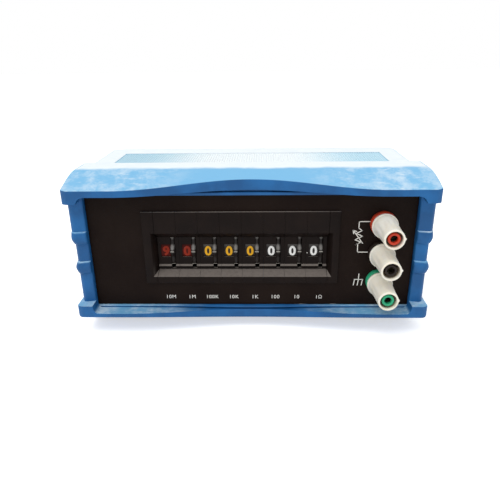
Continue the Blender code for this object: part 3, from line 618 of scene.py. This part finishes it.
def ribGroup(material):  # one rounded rib, repeated across the field
    group = bpy.data.node_groups.new("grille ribs", "GeometryNodeTree")
    group.interface.new_socket("Geometry", in_out="OUTPUT", socket_type="NodeSocketGeometry")
    sockets = {}
    for name, kind in (("Count", "NodeSocketInt"), ("Pitch", "NodeSocketFloat"), ("Length", "NodeSocketFloat"),
                       ("Width", "NodeSocketFloat"), ("Height", "NodeSocketFloat")):
        sockets[name] = group.interface.new_socket(name, in_out="INPUT", socket_type=kind).identifier
    given = addNode(group, "NodeGroupInput").outputs
    half = mathNode(group, "MULTIPLY", given["Length"], 0.5)
    less = mathNode(group, "MULTIPLY", half, -1.0)
    start = addNode(group, "ShaderNodeCombineXYZ", {"Y": less}).outputs[0]
    end = addNode(group, "ShaderNodeCombineXYZ", {"Y": half}).outputs[0]
    spine = addNode(group, "GeometryNodeCurvePrimitiveLine", {"Start": start, "End": end})
    section = addNode(group, "GeometryNodeCurvePrimitiveCircle", {"Resolution": 12, "Radius": 0.5})
    size = addNode(group, "ShaderNodeCombineXYZ", {"X": given["Width"], "Y": given["Height"], "Z": 1.0})
    oval = addNode(group, "GeometryNodeTransform", {"Geometry": section.outputs["Curve"],
                                                    "Scale": size.outputs[0]})
    rib = addNode(group, "GeometryNodeCurveToMesh", {"Curve": spine.outputs["Curve"], "Fill Caps": True,
                                                     "Profile Curve": oval.outputs["Geometry"]})
    step = addNode(group, "ShaderNodeCombineXYZ", {"X": given["Pitch"]}).outputs[0]
    reach = mathNode(group, "SUBTRACT", given["Count"], 1.0)
    left = mathNode(group, "MULTIPLY", mathNode(group, "MULTIPLY", reach, given["Pitch"]), -0.5)
    first = addNode(group, "ShaderNodeCombineXYZ", {"X": left}).outputs[0]
    row = addNode(group, "GeometryNodeMeshLine", {"Count": given["Count"], "Start Location": first,
                                                  "Offset": step})
    many = addNode(group, "GeometryNodeInstanceOnPoints", {"Points": row.outputs["Mesh"],
                                                           "Instance": rib.outputs["Mesh"]})
    real = addNode(group, "GeometryNodeRealizeInstances", {"Geometry": many.outputs["Instances"]})
    coated = addNode(group, "GeometryNodeSetMaterial", {"Geometry": real.outputs["Geometry"],
                                                        "Material": material})
    addNode(group, "NodeGroupOutput", {"Geometry": coated.outputs["Geometry"]})
    return group, sockets


def grilleRibs():
    group, sockets = ribGroup(blue)
    mesh = bpy.data.meshes.new("top_ribs")
    obj = bpy.data.objects.new("top_ribs", mesh)
    bpy.context.scene.collection.objects.link(obj)
    modifier = obj.modifiers.new("ribs", "NODES")
    modifier.node_group = group
    count = int((grille["width"] - grille["rib"]) / grille["pitch"])
    length = grille["depth"] - grille["endGap"]
    for name, value in (("Count", count), ("Pitch", grille["pitch"]), ("Length", length),
                        ("Width", grille["rib"]), ("Height", grille["height"] * 2)):
        modifier[sockets[name]] = value
    bake(obj)
    obj.data.transform(Matrix.Translation((0, grille["y"], grille["flat"] - grille["recess"])))
    smooth(obj.data, 50)
    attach(obj, "case")


topCover()
baseCover()
grilleRibs()
print("stage: covers done")


# sleeve with the ribbed pillars

sleeve = {"front": -0.03105, "back": 0.05495, "low": 0.0144, "high": 0.0870, "half": 0.098, "corner": 0.012,
          "panelHalf": 0.0953, "panelLow": 0.0154, "panelHigh": 0.0853, "panelSeat": -0.02675, "ledge": 0.0023,
          "ledgeDepth": 0.002, "rearHalf": 0.0843, "rearSeat": 0.05065, "rearLow": 0.0184, "rearHigh": 0.0830,
          "edge": 0.0003}
pillar = {"front": -0.0330, "back": -0.00905, "half": 0.1040, "corner": 0.003, "slant": 0.0010,
          "taper": 0.005, "innerEdge": 0.0012, "ribTops": (0.0647, 0.0461), "ribHeight": 0.0081,
          "ribFront": 0.0016, "ribSide": 0.0004, "waist": 0.0010, "waistFrontShare": 0.4, "low": 0.0184,
          "high": 0.0850, "sink": 0.00135, "panelLap": 0.0005, "frontTopShare": 0.4, "sideTopShare": 0.7,
          "sideFallShare": 0.45}


def plan(half, front, back, corner):
    return mirrored([(half, front)] + arc((half - corner, back - corner), (corner, corner), 0, 90, 16))


def ribShape(down):  # a rib's reach in front and at the side, by the share of its height below its top
    top, fall = pillar["frontTopShare"], pillar["sideFallShare"]
    rise = math.sqrt(1 - (1 - min(down / top, 1.0)) ** 2)
    front = rise * math.sqrt(max(1 - (max(down - top, 0) / (1 - top)) ** 1.6, 0.0))
    swell = math.sin(math.pi * min(down / pillar["sideTopShare"], 1.0) * 0.5)
    return front, swell * (1 - max(down - fall, 0) / (1 - fall)) ** 0.8


def pillarOutline(grow, bulge):  # grow moves the front, bulge the side
    outer, front, back = pillar["half"] + bulge, pillar["front"] - grow, pillar["back"]
    inner, sunk = sleeve["panelHalf"] - clearance, sleeve["panelHalf"] + pillar["sink"]
    behind = panelFace - pillar["panelLap"]
    radius, edge = pillar["corner"], pillar["innerEdge"]
    forward = front - pillar["slant"] + radius  # the face comes forward towards its outer corner
    corner = arc((outer - radius, forward), (radius, radius), -90, 0, 14)
    inside = arc((inner + edge, front + edge), (edge, edge), 180, 270, 6)
    return inside + corner + [(outer, back - pillar["taper"]), (sunk, back), (sunk, behind), (inner, behind)]


def pillarMesh(way):
    levels, waist, share = [(pillar["high"], 0.0, 0.0)], 0.0, pillar["waistFrontShare"]
    for top in pillar["ribTops"]:
        for down in [0.0, 0.01, 0.025, 0.045, 0.07] + [0.1 + 0.9 * i / 16 for i in range(17)]:
            front, side = ribShape(down)
            base = waist + (pillar["waist"] - waist) * down
            levels.append((top - down * pillar["ribHeight"], front * pillar["ribFront"] - base * share,
                           side * (pillar["ribSide"] + base) - base))
        waist = pillar["waist"]
    levels.append((pillar["low"], -waist * share, -waist))
    shape = bmesh.new()
    skinned(shape, [[(way * x, y, z) for x, y in pillarOutline(grow, bulge)] for z, grow, bulge in levels])
    return addMesh("pillar", shape)


def bodySleeve():
    s = sleeve
    outside = plan(s["half"], s["front"], s["back"], s["corner"])
    tube = prism("sleeve_moulding", outside, "Z", s["low"], s["high"])
    innerFront, innerBack = s["panelSeat"] + s["ledgeDepth"], s["rearSeat"] - s["ledgeDepth"]
    inside = plan(s["panelHalf"], innerFront, innerBack, s["corner"] - s["back"] + innerBack)
    hollow = prism("hollow", inside, "Z", s["low"] - overrun, s["high"] + overrun)
    boolean(tube, hollow, "DIFFERENCE")
    ledge = s["ledge"]
    for low, high in (((-s["panelHalf"], s["front"] - overrun, s["panelLow"]),
                       (s["panelHalf"], s["panelSeat"], s["panelHigh"])),
                      ((-s["panelHalf"] + ledge, s["front"] - overrun, s["panelLow"] + ledge),
                       (s["panelHalf"] - ledge, innerFront + overrun, s["panelHigh"] - ledge)),
                      ((-s["rearHalf"], s["rearSeat"], s["rearLow"]),
                       (s["rearHalf"], s["back"] + overrun, s["rearHigh"])),
                      ((-s["rearHalf"] + ledge, innerBack - overrun, s["rearLow"] + ledge),
                       (s["rearHalf"] - ledge, s["back"] + overrun, s["rearHigh"] - ledge))):
        boolean(tube, block("room", low, high), "DIFFERENCE")
    bevel = tube.modifiers.new("edges", "BEVEL")
    bevel.width, bevel.segments, bevel.limit_method = s["edge"], 2, "ANGLE"
    bevel.angle_limit = math.radians(50)
    bake(tube)
    boolean(tube, pillarMesh(1), "UNION")
    boolean(tube, pillarMesh(-1), "UNION")
    finished(tube, "case", blue)
    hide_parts("body_sleeve")


bodySleeve()
print("stage: sleeve done")


# switch bank

housing = {"gap": 0.00006, "front": -0.03055, "plateBack": -0.02935, "back": 0.00495, "bezelLow": 0.0305,
           "bezelHigh": 0.0755, "low": 0.0327, "high": 0.0733, "sillFront": 0.0348, "sillBack": 0.0371,
           "floor": -0.02405, "headFront": 0.0624, "headBack": 0.0578, "face": 0.0008,
           "barLow": 0.0386, "barHigh": 0.0404, "barFall": 0.0009, "barReach": 0.001, "sideWall": 0.001,
           "digit": (0.0019, 0.0078), "digitLow": 0.0451, "digitHigh": 0.0532, "slot": (0.0078, 0.0104),
           "slotLow": 0.0379, "slotHigh": 0.0577, "corner": 0.0002, "room": 0.0148, "axle": 0.0024,
           "boardZ": 0.053, "boardHalf": 0.0143, "boardThick": 0.0016, "boardSeat": 0.0043, "rodBack": 0.0045,
           "rodInset": 0.0036, "rodHole": 0.0015, "point": (0.0337, 0.0477), "pointRadius": 0.0003,
           "rounds": (0.0004, 0.0002, 0.0002, 0, 0.0003, 0.0005, 0, 0.0002, 0.0003, 0.0003, 0.0002, 0,
                      0.0004, 0.0004, 0, 0)}
wheel = {"start": 0.0016, "drumEnd": 0.0077, "end": 0.0101, "drum": 0.0115, "rim": 0.0142, "bore": 0.0027,
         "teeth": 10, "dip": 0.0013, "edge": 0.0003, "figure": 0.0062, "redFigure": 0.0064, "weight": 0.035,
         "redWeight": 0.045, "proud": 0.00003, "turn": 0.019, "tickTurn": 0.051, "rimStep": 0.001,
         "tick": (0.0011, 0.00018), "shown": "90000000", "redCount": 2, "slice": 0.0004}
figureInks = [printedInk("dull_red_ink", "#93301f")] * 2 + [printedInk("amber_ink", "#f0b22c")] * 3 \
    + [printedInk("white_figure_ink", "#fbfaf6")] * 3
tickInk = printedInk("grey_tick_ink", "#c9c4ba")


def wheelShape():  # figure drum and scalloped thumb rim about X, from the module's left side
    w = wheel
    edge, roll = w["edge"], w["edge"] * 2
    profile = [(w["bore"], w["start"]), (w["drum"] - edge, w["start"]), (w["drum"], w["start"] + edge),
               (w["drum"], w["drumEnd"]), (w["rim"] - roll, w["drumEnd"]), (w["rim"], w["drumEnd"] + roll),
               (w["rim"], w["end"] - roll), (w["rim"] - roll, w["end"]), (w["bore"], w["end"])]

    def scallop(co):
        radius = math.hypot(co.x, co.z)
        if radius > w["drum"] + w["rimStep"]:
            turn = math.atan2(co.z, -co.x) - w["tickTurn"]
            grown = radius - w["dip"] * (0.5 - 0.5 * math.cos(w["teeth"] * turn))
            co.x, co.z = (c * grown / radius for c in (co.x, co.z))

    shape = turned(profile, w["teeth"] * 12, reshape=scallop)
    quarter = Matrix.Rotation(math.radians(90), 3, "Z")
    bmesh.ops.rotate(shape, verts=shape.verts, cent=(0, 0, 0), matrix=quarter)
    return shape


def textMesh(text, height, weight=0.0, spacing=1.0):  # upright flat text in XZ, its middle at the origin
    curve = bpy.data.curves.new("text", "FONT")
    curve.body, curve.size, curve.offset = text, 1.0, weight
    curve.align_x, curve.resolution_u, curve.space_character = "CENTER", 6, spacing
    obj = bpy.data.objects.new("text", curve)
    bpy.context.scene.collection.objects.link(obj)
    mesh = bpy.data.meshes.new_from_object(obj.evaluated_get(bpy.context.evaluated_depsgraph_get()))
    bpy.data.objects.remove(obj)
    shape = bmesh.new()
    shape.from_mesh(mesh)
    bpy.data.meshes.remove(mesh)
    low, high = (f(v.co.y for v in shape.verts) for f in (min, max))
    scale = height / (high - low)
    for vert in shape.verts:
        vert.co = Vector((vert.co.x * scale, 0, (vert.co.y - (low + high) / 2) * scale))
    return shape


def wrapped(shape, turn, centre, radius):  # bends flat text round a drum whose axis runs along X
    for step in range(-10, 11):
        geometry = shape.verts[:] + shape.edges[:] + shape.faces[:]
        bmesh.ops.bisect_plane(shape, geom=geometry, plane_co=(0, 0, step * wheel["slice"]),
                               plane_no=(0, 0, 1))
    for vert in shape.verts:
        angle = turn + vert.co.z / radius
        vert.co = centre + Vector((vert.co.x, -radius * math.cos(angle), radius * math.sin(angle)))
    return shape


def merge(target, shape):
    mesh = bpy.data.meshes.new("part")
    shape.to_mesh(mesh)
    shape.free()
    target.from_mesh(mesh)
    bpy.data.meshes.remove(mesh)


def thumbwheels():
    w = wheel
    for index in range(modules["count"]):
        axis = Vector((modules["left"] + index * modules["pitch"], wheelAxis.y, wheelAxis.z))
        body, red = f"wheel_{index + 1}", index < w["redCount"]
        shape = wheelShape()
        bmesh.ops.translate(shape, verts=shape.verts, vec=axis)
        obj = addMesh(f"thumbwheel_{index + 1}_moulded", shape, body, wheelBlack)
        if red:
            obj.data.materials.append(drumRed)
            for face in obj.data.polygons:
                middle = face.center - axis
                if abs(math.hypot(middle.y, middle.z) - w["drum"]) < w["edge"] / 2:
                    face.material_index = 1
        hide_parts(f"thumbwheel_{index + 1}")
        figures, ticks = bmesh.new(), bmesh.new()
        shown = int(w["shown"][index])
        onDrum = axis + Vector((sum(housing["digit"]) / 2, 0, 0))
        onRim = axis + Vector(((w["drumEnd"] + w["end"]) / 2, 0, 0))
        half, tall = w["tick"]
        for step in range(w["teeth"]):
            turn = -math.tau * step / w["teeth"]
            digit = textMesh(str((shown + step) % w["teeth"]), w["redFigure" if red else "figure"],
                             w["redWeight" if red else "weight"])
            merge(figures, wrapped(digit, turn + w["turn"], onDrum, w["drum"] + w["proud"]))
            mark = bmesh.new()
            mark.faces.new([mark.verts.new((x, 0, z)) for x, z in rectangle(-half, half, -tall, tall)])
            merge(ticks, wrapped(mark, turn + w["tickTurn"], onRim, w["rim"] + w["proud"]))
        addMesh(f"figures_{index + 1}", figures, body, figureInks[index])
        addMesh(f"ticks_{index + 1}", ticks, body, tickInk)


def housingShape():  # one switch housing, its module's left side at x = 0
    h = housing
    left, right = h["gap"], modules["pitch"] - h["gap"]
    floor, reach = h["floor"], h["barReach"]
    profile = [(h["front"], h["bezelLow"]), (h["front"], h["sillFront"]), (floor, h["sillBack"]),
               (floor, h["barLow"]), (floor - reach, h["barLow"]), (floor - reach, h["barHigh"] - h["barFall"]),
               (floor, h["barHigh"]), (floor, h["headBack"]), (h["front"], h["headFront"]),
               (h["front"], h["bezelHigh"]), (h["plateBack"], h["bezelHigh"]), (h["plateBack"], h["high"]),
               (h["back"], h["high"]), (h["back"], h["low"]), (h["plateBack"], h["low"]),
               (h["plateBack"], h["bezelLow"])]
    shell = prism("housing", filleted(profile, h["rounds"]), "X", left, right)
    near, far = floor + h["face"], h["room"]
    turn = math.degrees(math.acos((wheelAxis.y - near) / far))
    room = arc((wheelAxis.y, wheelAxis.z), (far, far), turn - 180, 180 - turn, 40)
    boolean(shell, prism("room", room, "X", h["sideWall"], right + overrun), "DIFFERENCE")
    digitLeft, (slotLeft, slotRight) = h["digit"][0], h["slot"]
    opening = [(digitLeft, h["digitLow"]), (slotLeft, h["digitLow"]), (slotLeft, h["slotLow"]),
               (slotRight, h["slotLow"]), (slotRight, h["slotHigh"]), (slotLeft, h["slotHigh"]),
               (slotLeft, h["digitHigh"]), (digitLeft, h["digitHigh"])]
    cut = filleted(opening, [h["corner"]] * len(opening), 2)
    boolean(shell, prism("opening", cut, "Y", floor - reach - overrun, near + overrun / 2), "DIFFERENCE")
    axle = arc((wheelAxis.y, wheelAxis.z), (h["axle"], h["axle"]), 0, 360, 24)[:-1]
    boolean(shell, prism("axle", axle, "X", h["sideWall"] - overrun / 4, slotRight), "UNION")
    middle, half = modules["pitch"] / 2, h["boardThick"] / 2
    boolean(shell, block("seat", (middle - half, h["back"] - h["boardSeat"], h["boardZ"] - h["boardHalf"]),
                         (middle + half, h["back"] + overrun, h["boardZ"] + h["boardHalf"])), "DIFFERENCE")
    for z in (h["low"] + h["rodInset"], h["high"] - h["rodInset"]):
        hole = arc((h["back"] - h["rodBack"], z), (h["rodHole"], h["rodHole"]), 0, 360, 16)[:-1]
        boolean(shell, prism("hole", hole, "X", -overrun, right + overrun), "DIFFERENCE")
    return shell


def switchBank():
    pattern = housingShape()
    for index in range(modules["count"]):
        mesh = pattern.data.copy()
        mesh.transform(Matrix.Translation((modules["left"] + index * modules["pitch"], 0, 0)))
        obj = addObject(f"switch_housing_{index + 1}_moulded", mesh, "case", switchBlack)
        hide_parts(f"switch_housing_{index + 1}")
    bpy.data.objects.remove(pattern)
    softened("left_cheek", switchBlack)
    softened("right_cheek", switchBlack)
    point = bmesh.new()
    radius = housing["pointRadius"]
    point.faces.new([point.verts.new((x, housing["floor"] - wheel["proud"], z))
                     for x, z in arc(housing["point"], (radius, radius), 0, 360, 16)[:-1]])
    addMesh("decimal_point", point, "case", whiteInk)


thumbwheels()
switchBank()
print("stage: switch bank done")


# binding posts

post = {"x": 0.0761, "places": (0.068, 0.0499, 0.0318), "bore": 0.0033, "bush": 0.0046, "collar": 0.0075,
        "collarLow": 0.0003, "collarHigh": 0.0033, "ringLow": 0.0036, "ringHigh": 0.0046, "ring": 0.0065,
        "capStart": 0.0049, "end": 0.0279, "mouth": 0.0057, "mouthBore": 0.0046, "lipRound": 0.0008,
        "mouthDepth": 0.0079, "flutes": 10, "fluteDepth": 0.00035, "fluteStart": 0.0045, "fluteEnd": 0.0035,
        "nub": 0.0006, "nubTurn": 4, "nubHalf": 9,
        "body": ((0.0, 0.0071), (0.01, 0.0074), (0.065, 0.0074), (0.08, 0.0070), (0.13, 0.00695),
                 (0.18, 0.00675), (0.24, 0.0065), (0.32, 0.00628), (0.42, 0.0061), (0.55, 0.00595),
                 (0.7, 0.00583), (0.85, 0.00573), (0.93, 0.0057)),
        "bevel": 0.0002, "bushDepth": 0.002, "collarRound": 0.0008, "tipRound": 0.0004, "boreRound": 0.0003,
        "rimWall": 0.0006, "fluteEase": 0.004, "stud": 0.003, "tail": 0.014, "socket": 0.002,
        "socketEnd": 0.0242, "socketDepth": 0.019, "tipRadius": 0.0034, "tipEnd": 0.0266, "tipLength": 0.0021,
        "threadPitch": 0.001, "threadDepth": 0.0003}


def onPanel(name, shape, index, body, material, node):
    bmesh.ops.translate(shape, verts=shape.verts, vec=(post["x"], panelFace, post["places"][index]))
    obj = addMesh(name, shape, body, material)
    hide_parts(node)


def capProfile():  # the thumb cap: a ringed skirt, a tapered fluted body and a deep mouth with a rolled rim
    p = post
    length, roll = p["end"] - p["capStart"], p["lipRound"]
    outside = [(radius, p["capStart"] + length * share) for share, radius in p["body"]]
    outside += arc((p["mouth"] - roll, p["end"] - roll), (roll, roll), 0, 90, 6)
    edge = p["boreRound"]
    inner = arc((p["mouthBore"] + edge, p["end"] - edge), (edge, edge), 90, 180, 3)
    bottom = p["end"] - p["mouthDepth"]
    return outside + inner + [(p["mouthBore"], bottom), (p["bore"], bottom), (p["bore"], p["capStart"])]


def fluted(co):  # grooves along the cap's body, and a little moulding nub on its rim
    p = post
    radius, along = math.hypot(co.x, co.z), -co.y
    turn = math.atan2(co.z, co.x)
    if radius < p["mouthBore"] + p["rimWall"]:
        return
    start, end = p["capStart"] + p["fluteStart"], p["end"] - p["fluteEnd"]
    shift = 0.0
    if start < along < end:
        ease = min((along - start) / p["fluteEase"], 1.0)
        shift = -p["fluteDepth"] * ease * (0.5 - 0.5 * math.cos(p["flutes"] * turn)) ** 1.5
    elif along > end:
        away = abs(math.degrees(turn) - p["nubTurn"]) / p["nubHalf"]
        shift = p["nub"] * max(1 - away, 0.0)
    co.x, co.z = (c * (radius + shift) / radius for c in (co.x, co.z))


def threadedStud():  # a helical M6 thread on its outside and the plug socket down its front
    p = post
    steps, perTurn = 28, 4
    length = p["socketEnd"] + p["tail"]
    points = int(length / p["threadPitch"]) * perTurn
    shape = bmesh.new()
    rows = []
    for i in range(steps):
        angle = math.tau * i / steps
        row = [(p["stud"] - p["threadDepth"], -p["tail"])]
        for j in range(points):
            along = -p["tail"] + length * (j + 0.5) / points
            phase = (along / p["threadPitch"] - i / steps) % 1.0
            row.append((p["stud"] - p["threadDepth"] * abs(phase * 2 - 1), along))
        row += [(p["stud"] - p["threadDepth"], p["socketEnd"]), (p["socket"], p["socketEnd"]),
                (p["socket"], p["socketEnd"] - p["socketDepth"])]
        rows.append([shape.verts.new((r * math.cos(angle), -d, r * math.sin(angle))) for r, d in row])
    for i, row in enumerate(rows):
        after = rows[(i + 1) % steps]
        for j in range(len(row) - 1):
            shape.faces.new((row[j], row[j + 1], after[j + 1], after[j]))
    shape.faces.new([row[-1] for row in rows])
    shape.faces.new([row[0] for row in reversed(rows)])
    return shape


def bindingPosts():
    p = post
    for index, name in enumerate(postNames):
        colour = insulators[name]
        low, high, bevel, roll = p["collarLow"], p["collarHigh"], p["bevel"], p["collarRound"]
        collar = [(p["bore"], high), (p["bore"], -p["bushDepth"]), (p["bush"], -p["bushDepth"]),
                  (p["bush"], low), (p["collar"] - bevel, low), (p["collar"], low + bevel)]
        collar += arc((p["collar"] - roll, high - roll), (roll, roll), 0, 90, 5)
        onPanel(f"{name}_collar_moulded", turned(collar, 64), index, "case", colour, f"{name}_collar")
        low, high, outer = p["ringLow"], p["ringHigh"], p["ring"]
        ring = [(p["bore"], low), (outer - bevel, low), (outer, low + bevel), (outer, high - bevel),
                (outer - bevel, high), (p["bore"], high)]
        onPanel(f"{name}_clamp_ring_turned", turned(ring, 64), index, f"{name}_clamp", nickel,
                f"{name}_clamp_ring")
        onPanel(f"{name}_cap_moulded", turned(capProfile(), p["flutes"] * 10, reshape=fluted), index,
                f"{name}_thumb", cream, f"{name}_cap")
        end, edge = p["tipEnd"], p["tipRound"]
        tip = [(p["socket"], end - p["tipLength"]), (p["tipRadius"], end - p["tipLength"])]
        tip += arc((p["tipRadius"] - edge, end - edge), (edge, edge), 0, 90, 4)
        tip += arc((p["socket"] + edge, end - edge), (edge, edge), 90, 180, 4)
        onPanel(f"{name}_tip_moulded", turned(tip, 48), index, "case", colour, f"{name}_socket_tip")
        onPanel(f"{name}_stud_threaded", threadedStud(), index, "case", nickel, f"{name}_stud")


bindingPosts()
print("stage: binding posts done")


# printing on the panel

printing = {"labelZ": 0.02074, "labelHeight": 0.00235, "labelSpacing": 1.12, "line": 0.0005, "proud": 0.00004,
            "resistor": ((0.06892, 0.06900), (0.06256, 0.06896), (0.06250, 0.06502), (0.06460, 0.06350),
                         (0.06125, 0.06173), (0.06495, 0.06008), (0.06061, 0.05779), (0.06440, 0.05640),
                         (0.06120, 0.05480), (0.06250, 0.05560), (0.06264, 0.05009), (0.06871, 0.05008)),
            "arrow": ((0.06526, 0.05571), (0.05952, 0.06351)),
            "barbs": ((0.05975, 0.06165), (0.05930, 0.06370), (0.06140, 0.06300)),
            "stem": ((0.06453, 0.03593), (0.06448, 0.03238)), "bar": ((0.06201, 0.03238), (0.06710, 0.03238)),
            "legs": ((0.06215, 0.06166), (0.06448, 0.06399), (0.06695, 0.06638)), "legFoot": 0.02868,
            "labels": (("10M", -0.0494), ("1M", -0.03635), ("100K", -0.02395), ("10K", -0.01072),
                       ("1K", 0.00224), ("100", 0.01456), ("10", 0.02758), ("1Ω", 0.04111))}


def stroke(shape, points):  # a printed line of even width along points on the panel, as (x, z)
    half = printing["line"] / 2
    y = panelFace - printing["proud"]
    for start, end in zip(points, points[1:]):
        a, b = Vector(start), Vector(end)
        along = (b - a).normalized() * half
        side = Vector((-along.y, along.x))
        corners = (a - along + side, a - along - side, b + along - side, b + along + side)
        shape.faces.new([shape.verts.new((c.x, y, c.y)) for c in corners])


def labels():
    for index, (text, x) in enumerate(printing["labels"]):
        shape = textMesh(text, printing["labelHeight"], spacing=printing["labelSpacing"])
        place = (x, panelFace - printing["proud"], printing["labelZ"])
        bmesh.ops.translate(shape, verts=shape.verts, vec=place)
        addMesh(f"label_{index + 1}", shape, "case", whiteInk)


def resistorSymbol():
    shape = bmesh.new()
    for line in ("resistor", "arrow", "barbs"):
        stroke(shape, printing[line])
    addMesh("resistor_symbol", shape, "case", whiteInk)


def chassisSymbol():
    shape = bmesh.new()
    stroke(shape, printing["stem"])
    stroke(shape, printing["bar"])
    for top, foot in printing["legs"]:
        stroke(shape, [(top, printing["bar"][0][1]), (foot, printing["legFoot"])])
    addMesh("chassis_symbol", shape, "case", whiteInk)


labels()
resistorSymbol()
chassisSymbol()
print("stage: printing done")


# CAD nodes that keep their shape

def paint(nodes, material):
    for node in nodes:
        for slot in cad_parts[node].material_slots:
            slot.material = material


paint(["front_panel", "rear_panel"], enamel)
paint([f"decade_board_{i + 1}" for i in range(modules["count"])], laminate)
paint([f"case_screw_{i + 1}" for i in range(4)] + ["lower_tie_rod", "upper_tie_rod"], zinc)
paint([f"foot_{i + 1}" for i in range(4)], rubberBlack)
paint([f"{name}_nut" for name in postNames], nickel)
print("stage: CAD finishes done")


# camera, light and floor

view = {"place": (0.00749, -0.30039, 0.16031), "pitch": 21.84, "yaw": -1.68, "roll": -0.72, "lens": 35.66,
        "sensor": 36.0, "skyLight": (0.72, 0.73, 0.74, 1.0), "lamp": 1.15, "lampSpread": 35,
        "lampFrom": (-0.25, -0.35, 0.8), "floorHalf": 4.0, "floorGlow": 0.55}


def camera():
    data = bpy.data.cameras.new("camera")
    data.lens, data.sensor_width, data.clip_start = view["lens"], view["sensor"], 0.01
    obj = bpy.data.objects.new("camera", data)
    bpy.context.scene.collection.objects.link(obj)
    pitch, yaw, roll = (math.radians(view[key]) for key in ("pitch", "yaw", "roll"))
    ahead = Vector((math.sin(yaw) * math.cos(pitch), math.cos(yaw) * math.cos(pitch), -math.sin(pitch)))
    right = Vector((math.cos(yaw), -math.sin(yaw), 0))
    up = right.cross(ahead)
    across = right * math.cos(roll) + up * math.sin(roll)
    upright = up * math.cos(roll) - right * math.sin(roll)
    turn = Matrix((across, upright, -ahead)).transposed()
    obj.matrix_world = Matrix.Translation(view["place"]) @ turn.to_4x4()
    bpy.context.scene.camera = obj


def backdropSeen(tree):  # 1 where the white backdrop itself is seen, straight or in a shiny or clear surface
    path = addNode(tree, "ShaderNodeLightPath").outputs
    direct = mathNode(tree, "MAXIMUM", path["Is Camera Ray"], path["Is Glossy Ray"])
    return mathNode(tree, "MAXIMUM", direct, path["Is Transmission Ray"])


def surroundings():
    scene = bpy.context.scene
    scene.view_settings.view_transform = "Standard"
    world = bpy.data.worlds.new("studio")
    scene.world = world
    world.use_nodes = True
    tree = world.node_tree
    tree.nodes.clear()
    colour = mix(tree, backdropSeen(tree), view["skyLight"], (1.0, 1.0, 1.0, 1.0))
    sky = addNode(tree, "ShaderNodeBackground", {"Color": colour})
    addNode(tree, "ShaderNodeOutputWorld", {"Surface": sky.outputs[0]})
    sun = bpy.data.lights.new("soft_lamp", "SUN")
    sun.energy, sun.angle = view["lamp"], math.radians(view["lampSpread"])
    obj = bpy.data.objects.new("soft_lamp", sun)
    scene.collection.objects.link(obj)
    obj.rotation_euler = Vector(view["lampFrom"]).to_track_quat("Z", "Y").to_euler()
    shape = bmesh.new()
    far = view["floorHalf"]
    shape.faces.new([shape.verts.new((*point, 0)) for point in rectangle(-far, far, -far, far)])
    paper, paperTree, surface, _ = newMaterial("white_paper", Roughness=0.9, Specular_IOR_Level=0.1,
                                               Base_Color=(0.9, 0.9, 0.9, 1.0),
                                               Emission_Color=(1.0, 1.0, 1.0, 1.0))
    glow = mathNode(paperTree, "MULTIPLY", backdropSeen(paperTree), view["floorGlow"])
    paperTree.links.new(glow, surface.inputs["Emission Strength"])
    addMesh("floor", shape, None, paper)


camera()
surroundings()
print("stage: camera and light done")
